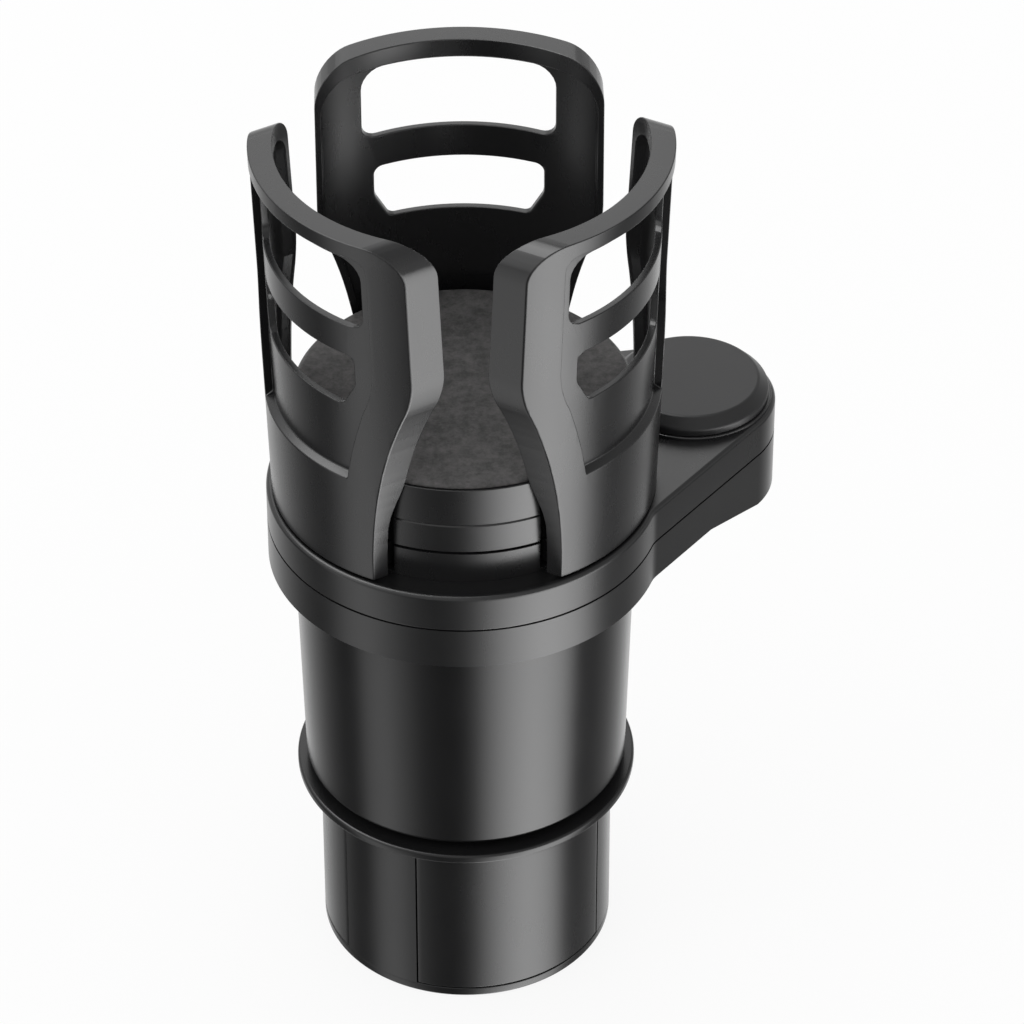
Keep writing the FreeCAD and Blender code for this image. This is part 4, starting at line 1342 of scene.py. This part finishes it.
@dataclass
class Claw:
    """One of the three upright claws, modelled flat and then curved to its cone.

    knee_rest is the length that the rounded knee leaves over of the sweep's last
    edge, and shortest is the shortest edge that stays, because a shorter one stops
    the bevel. The wall thins below thin_top, by foot_thinning at most. off_centre
    keeps the cuts into strips away from the vertices that are there already.
    """

    low: float = 131.4
    top: float = 223.5
    low_radius: float = 44.5
    top_radius: float = 47.3
    wall: float = 5.6
    half: float = 32.7
    foot_half: float = 23.4
    shoulder: float = 184.5
    knee_round: float = 4.6
    knee_rest: float = 1.4
    shortest: float = 0.45
    corner: float = 8.0
    border: float = 7.3
    panel_depth: float = 2.0
    panel_low: float = 158.4
    panel_high: float = 219.8
    high_half: float = 22.2
    high_low: float = 199.75
    high_top: float = 217.75
    head_corner: float = 5.0
    sill_corner: float = 3.2
    low_half: float = 19.6
    low_sill: float = 16.2
    low_low: float = 177.5
    low_knee: float = 184.0
    low_top: float = 191.5
    low_corner: float = 2.0
    low_bend: float = 4.0
    hollow_lip: float = 1.5
    hollow_depth: float = 1.9
    hollow_low: float = 150.0
    hollow_high: float = 219.1
    ledge_rise: float = 0.8
    thin_top: float = 159.0
    thin_span: float = 14.0
    foot_thinning: float = 0.42
    foot_inner: float = 21.55
    foot_side: float = 20.0
    foot_round: float = 41.8
    foot_top: float = 137.9
    pin_reach: float = 25.55
    pin_radius: float = 2.0
    pin_top: float = 141.5
    strip: float = 1.6
    course: float = 4.5
    off_centre: float = 0.013
    spare: float = 3.0
    edge: float = 0.4
    sweep_facets: int = 14
    round_facets: int = 6

    def outline(
        self, name: str, inset: float, low: float, high: float, corner: float, near: float, far: float
    ) -> Piece:
        """The claw's front view as a flat slab, X being the depth into the wall.

        Args:
            name: Name of the new object.
            inset: How far inside the claw's own outline it runs.
            low: Its lower level.
            high: Its upper level.
            corner: Radius of its upper corners.
            near: Where it starts in the wall.
            far: Where it ends in the wall.

        Returns:
            The slab.
        """
        waist = self.half - self.foot_half
        rise = self.shoulder - self.low
        sweep = (rise * rise + waist * waist) / (2 * waist)
        centre = self.foot_half + sweep
        radius = sweep + inset
        start = math.degrees(math.asin((low - self.low) / radius))
        stop = math.degrees(math.asin(rise / radius))
        half = self.half - inset
        middle, knee, axis = (near, centre, self.low), (near, half, self.shoulder), (1, 0, 0)
        begin = (near, centre - radius * math.cos(math.radians(start)), low)
        wire = Wire(name, (near, 0, low)).line(begin)
        last = math.degrees((self.knee_round + self.knee_rest) / radius)
        wire.arc(middle, start - stop + last, self.sweep_facets, axis).arc(middle, -last, 1, axis)
        wire.line(knee, (near, half, high - corner))
        wire.arc((near, half - corner, high - corner), 90, round(1.5 * corner), axis)
        wire.line((near, 0, high))
        merge(self.shortest)
        wire.soften(knee, self.knee_round, self.round_facets).mirror()
        merge(0.05)
        return wire.slab((far - near, 0, 0))

    def window(self, name: str, corners: Sequence[Corner]) -> Piece:
        """A cutter for a window with rounded corners.

        Args:
            name: Name of the new object.
            corners: Half width, height and rounding of each corner on the right, from below.

        Returns:
            The cutter, which goes right through the wall.
        """
        past = 2.0
        right = [(-past, half, height) for half, height, _ in corners]
        ring = right + [(-past, -half, height) for half, height, _ in reversed(corners)]
        radii = [radius for _, _, radius in (*corners, *reversed(corners))]
        wire = Wire(name, ring[0]).line(*ring[1:]).close()
        return wire.round_off(ring, radii, self.round_facets).slab((self.wall + 2 * past, 0, 0))

    def curved(self, place: Vector) -> Vector:
        """Carries a point of the flat slab onto the cone.

        Args:
            place: Depth, width and height of the point, in millimetres.

        Returns:
            Its place in a claw that points along +X.
        """
        depth, width, height = place
        share = (height - self.low) / (self.top - self.low)
        outer = self.low_radius + share * (self.top_radius - self.low_radius)
        near_foot = min(max((self.thin_top - height) / self.thin_span, 0.0), 1.0)
        near_foot *= near_foot * (3 - 2 * near_foot)
        radius = outer - depth * (1 - self.foot_thinning * near_foot)
        return Vector((math.sqrt(radius * radius - width * width), width, height))

    def flat(self) -> Piece:
        """The flat claw with its windows and its sunk panel.

        Returns:
            The claw with rounded edges, its depth along X.
        """
        claw = self.outline("claw", 0, self.low, self.top, self.corner, 0, self.wall)
        high = self.window("high", [
            (self.high_half, self.high_low, self.sill_corner),
            (self.high_half, self.high_top, self.head_corner)])
        low = self.window("low", [
            (self.low_sill, self.low_low, self.low_corner), (self.low_half, self.low_knee, self.low_bend),
            (self.low_half, self.low_top, self.low_corner)])
        panel = self.outline(
            "panel", self.border, self.panel_low, self.panel_high, self.sill_corner,
            -self.spare, self.panel_depth)
        hollow = self.outline(
            "hollow", self.hollow_lip, self.hollow_low, self.hollow_high, self.corner - self.hollow_lip,
            self.wall - self.hollow_depth, self.wall + self.spare)
        combine(claw, Way.CUT, [panel, hollow, high, low])
        open_up(claw)
        pick(claw, Part.VERTEX, lambda co: abs(co.x - self.panel_depth) < PLACE
             and abs(co.z - self.panel_low) < PLACE)
        bpy.ops.transform.translate(value=(0, 0, self.ledge_rise * MM))
        rest()
        return dress(claw, self.edge, sharp=30.0)

    def sliced(self, claw: Piece) -> Piece:
        """Cuts the flat claw's faces into strips and courses, so that they can curve.

        Args:
            claw: The flat claw.

        Returns:
            The same object.
        """
        open_up(claw)
        for normal, first, last, step in (
            ((0, 1, 0), -self.half, self.half, self.strip),
            ((0, 0, 1), self.low, self.top, self.course),
        ):
            count = round((last - first) / step)
            for number in range(1, count):
                at = first + (last - first) * number / count + self.off_centre
                bpy.ops.mesh.select_all(action="SELECT")
                bpy.ops.mesh.bisect(
                    plane_co=Vector(normal) * at * MM, plane_no=normal, threshold=0.001 * MM)
        rest()
        return claw

    def foot(self) -> list[Piece]:
        """The foot that slides in the lowest tier, and the guide pin on it.

        Returns:
            The foot and the pin.
        """
        foot = block("foot", (self.foot_inner, -self.foot_side, self.low),
                     (self.low_radius, self.foot_side, self.foot_top))
        combine(foot, Way.KEEP, [rod("room", self.foot_round, self.low - FAR, self.top, steps=ROUND)])
        pin = rod("pin", self.pin_radius, self.foot_top - BITE, self.pin_top, self.pin_reach)
        return [dress(foot, 0.3, 2), dress(pin, 0.2, 2)]

    def build(self) -> None:
        """Builds one claw, curves it and hands over three copies."""
        claw = self.sliced(self.flat())
        for vertex in claw.data.vertices:
            vertex.co = self.curved(vertex.co / MM) * MM
        dress(tidy_mesh(claw), sharp=32.0)
        whole = joined("claw", [claw, *self.foot()])
        for number, piece in enumerate(copies(whole, CLAW_ANGLES), start=1):
            piece.name = piece.data.name = f"claw_moulding_{number}"
            hand_over(piece, "claw_plastic", f"claw_body_{number}", f"claw_{number}")


# -------- hidden works


@dataclass
class Works:
    """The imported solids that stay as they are, and the finish of each."""

    finishes: dict[str, str]

    def build(self) -> None:
        """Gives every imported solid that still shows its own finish."""
        for name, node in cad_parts.items():
            if node.hide_render:
                continue
            slot = self.finishes[name]
            node.data.materials.clear()
            node.data.materials.append(finish_of(slot))
            LOG.info("%s keeps its packed shape, in %s", name, slot)


# -------- studio


@dataclass(frozen=True)
class Softbox:
    """A rectangular studio lamp, by its place round the object.

    azimuth is measured from the front, to the right, and the sizes are metres.
    """

    name: str
    azimuth: float
    distance: float
    height: float
    width: float
    length: float
    radiance: float
    aim: Point = (0.0, 0.0, 0.1)

    def build(self) -> None:
        """Hangs the lamp and aims it."""
        turn = math.radians(self.azimuth)
        side, front = self.distance * math.sin(turn), self.distance * math.cos(turn)
        place = Vector((side, -front, self.height))
        light = bpy.data.lights.new(self.name, "AREA")
        light.shape = "RECTANGLE"
        light.size = self.width
        light.size_y = self.length
        light.energy = self.radiance * math.pi * self.width * self.length
        lamp = bpy.data.objects.new(self.name, light)
        bpy.context.scene.collection.objects.link(lamp)
        lamp.location = place
        lamp.rotation_euler = (Vector(self.aim) - place).to_track_quat("-Z", "Y").to_euler()
        lamp.visible_camera = False


@dataclass(frozen=True)
class Patch:
    """A round patch of the sky that shows in gloss only: a lamp, or a black flag.

    way points at its middle, and outer and inner are the angles from there, in
    degrees, at which its light starts and is full.
    """

    way: Point
    outer: float
    inner: float
    radiance: float

    def light(self, sky: Shade, way: Signal) -> Signal:
        """The light that it adds in a direction.

        Args:
            sky: The world's tree.
            way: The direction that is looked in.

        Returns:
            Its radiance there, nought outside it.
        """
        dot = {"operation": "DOT_PRODUCT"}
        near = sky.add("VectorMath", dot, {0: way, 1: self.way}, "Value")
        length = Vector(self.way).length
        return sky.add("MapRange", {"interpolation_type": "SMOOTHSTEP"}, {
            "Value": near, "From Min": math.cos(math.radians(self.outer)) * length,
            "From Max": math.cos(math.radians(self.inner)) * length,
            "To Min": 0.0, "To Max": self.radiance}, "Result")


@dataclass
class Studio:
    """Camera, lamps, floor and backdrop.

    paper_lift is the share of plain white in the floor that the camera sees, and
    world_tone is the sky's radiance for all rays but the camera's.
    """

    camera_place: Point = (-0.01521, -0.92433, 0.82774)
    camera_tilt: float = 52.58
    camera_turn: float = -1.63
    lens: float = 175.93
    sensor: float = 36.0
    nearest: float = 0.05
    farthest: float = 50.0
    floor_size: float = 12.0
    floor_drop: float = 0.0002
    floor_tone: float = 0.18
    paper_tone: float = 0.93
    paper_lift: float = 0.88
    world_tone: float = 0.88

    def camera(self) -> None:
        """Sets the camera up as the photograph's."""
        data = bpy.data.cameras.new("camera")
        data.lens = self.lens
        data.sensor_width = self.sensor
        data.clip_start, data.clip_end = self.nearest, self.farthest
        camera = bpy.data.objects.new("camera", data)
        bpy.context.scene.collection.objects.link(camera)
        camera.location = self.camera_place
        tilt, turn = math.radians(self.camera_tilt), math.radians(self.camera_turn)
        camera.rotation_euler = (tilt, 0.0, turn)
        bpy.context.scene.camera = camera

    def floor(self) -> None:
        """Lays the plain floor, which the camera sees as white with a faint shadow."""
        rest()
        place = (0, 0, -self.floor_drop)
        bpy.ops.mesh.primitive_plane_add(size=self.floor_size, location=place)
        floor = bpy.context.object
        floor.name = "floor"
        shade = Shade("floor_paper")
        grain = shade.noise(shade.place(), 6.0, 2.0)
        seen = shade.add("LightPath", out="Is Camera Ray")
        share = seen * (0.99 + 0.02 * grain)
        paper = shade.between(share, (self.floor_tone,) * 3, (self.paper_tone,) * 3)
        shade.finish(Base_Color=paper, Roughness=0.9, Specular_IOR_Level=0.0)
        paper = Signal(shade, shade.surface.outputs[0])
        lifted = shade.mix(seen * self.paper_lift, paper, shade.glow(WHITE, 1.0))
        shade.feed(shade.output.inputs["Surface"], lifted)
        floor.data.materials.append(shade.material)
        floor.visible_glossy = False

    def world(self) -> None:
        """Sets a pale world that gloss sees as a studio and the camera as white."""
        world = bpy.data.worlds.new("studio")
        bpy.context.scene.world = world
        sky = Shade("studio_sky", world)
        way = sky.add("TexCoord", out="Generated")
        parts = sky.add("SeparateXYZ", {}, {"Vector": way}, "X")
        east, north, up = (Signal(sky, parts.socket.node.outputs[axis]) for axis in "XYZ")
        azimuth = sky.add("Math", {"operation": "ARCTAN2"}, {0: east, 1: 0.0 - north})
        peak = max(light for _, light in SHORE)
        stops = [(0.5 + degrees / 360, (light / peak,) * 3) for degrees, light in SHORE]
        below = sky.glow(sky.ramp(azimuth * (0.5 / math.pi) + 0.5, stops), peak)
        light = self.world_tone
        for patch in PATCHES:
            light = light + patch.light(sky, way)
        gloss = sky.mix(up > 0.0, below, sky.glow(WHITE, light))
        path = sky.add("LightPath", out="Is Camera Ray")
        glossy = Signal(sky, path.socket.node.outputs["Is Glossy Ray"])
        seen = sky.mix(glossy, sky.glow(WHITE, self.world_tone), gloss)
        sky.feed(sky.output.inputs["Surface"], sky.mix(path, seen, sky.glow(WHITE, 1.0)))

    def build(self) -> None:
        """Sets up the whole studio."""
        bpy.context.scene.view_settings.view_transform = "Standard"
        self.camera()
        self.floor()
        self.world()
        for lamp in LAMPS:
            lamp.build()


LAMPS = [
    Softbox("key_left", -65.0, 1.3, 1.0, 0.9, 0.9, 1.2),
    Softbox("back_high", 184.0, 1.4, 1.15, 1.2, 0.7, 1.0),
]
PATCHES = [
    Patch((-0.39, 0.18, 0.90), 28.0, 14.0, 5.2),
    Patch((0.62, 0.30, 0.72), 44.0, 20.0, -0.35),
]
SHORE = [
    (-180.0, 1.1), (-150.0, 0.95), (-132.0, 0.62), (-114.0, 0.3), (-100.0, 0.12), (-90.0, 0.09),
    (-83.0, 0.25), (-78.0, 0.9), (-69.0, 1.45), (-59.0, 1.6), (-50.0, 1.15), (-41.0, 0.72),
    (-32.0, 0.3), (-18.0, 0.13), (-3.0, 0.14), (5.0, 0.7), (13.4, 2.4), (22.0, 4.1), (30.6, 5.45),
    (39.4, 6.4), (48.5, 6.7), (58.0, 5.9), (68.0, 4.6), (77.0, 2.5), (82.0, 0.8), (86.0, 0.2),
    (102.0, 0.24), (117.0, 0.38), (136.0, 0.75), (155.0, 1.15), (180.0, 1.1),
]
"""What gloss sees below the horizon: radiance by azimuth, from the front to the right."""
WHITE = (1.0, 1.0, 1.0, 1.0)
KEPT = {
    "arm_plastic": ("holder_floor",),
    "inner_plastic": ("lower_cam", "upper_cam", "spindle"),
    "tier_plastic": ("cam_ring",),
    "washer_plastic": ("thrust_washer", "hub_washer"),
    "post_steel": ("pivot_post",),
    "screw_steel": (
        "base_screws", "spindle_washer", "spindle_screw", "arm_screws", "wave_washer", "pivot_washer",
        "pivot_screw", "floor_screws", "hub_screws", "platform_screws", "centre_screw"),
}
"""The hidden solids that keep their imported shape, by the slot that they get."""


def main() -> None:
    logging.basicConfig(level=logging.INFO, format="%(name)s: %(message)s")
    plan = ArmPlan()
    Studio().build()
    LowerCup().build()
    Barrel().build()
    LowerArm(plan).build()
    UpperArm(plan).build()
    PivotCap(plan).build()
    Pedestal().build()
    Claw().build()
    Works({name: slot for slot, names in KEPT.items() for name in names}).build()
    rest()


if __name__ == "__main__":
    main()
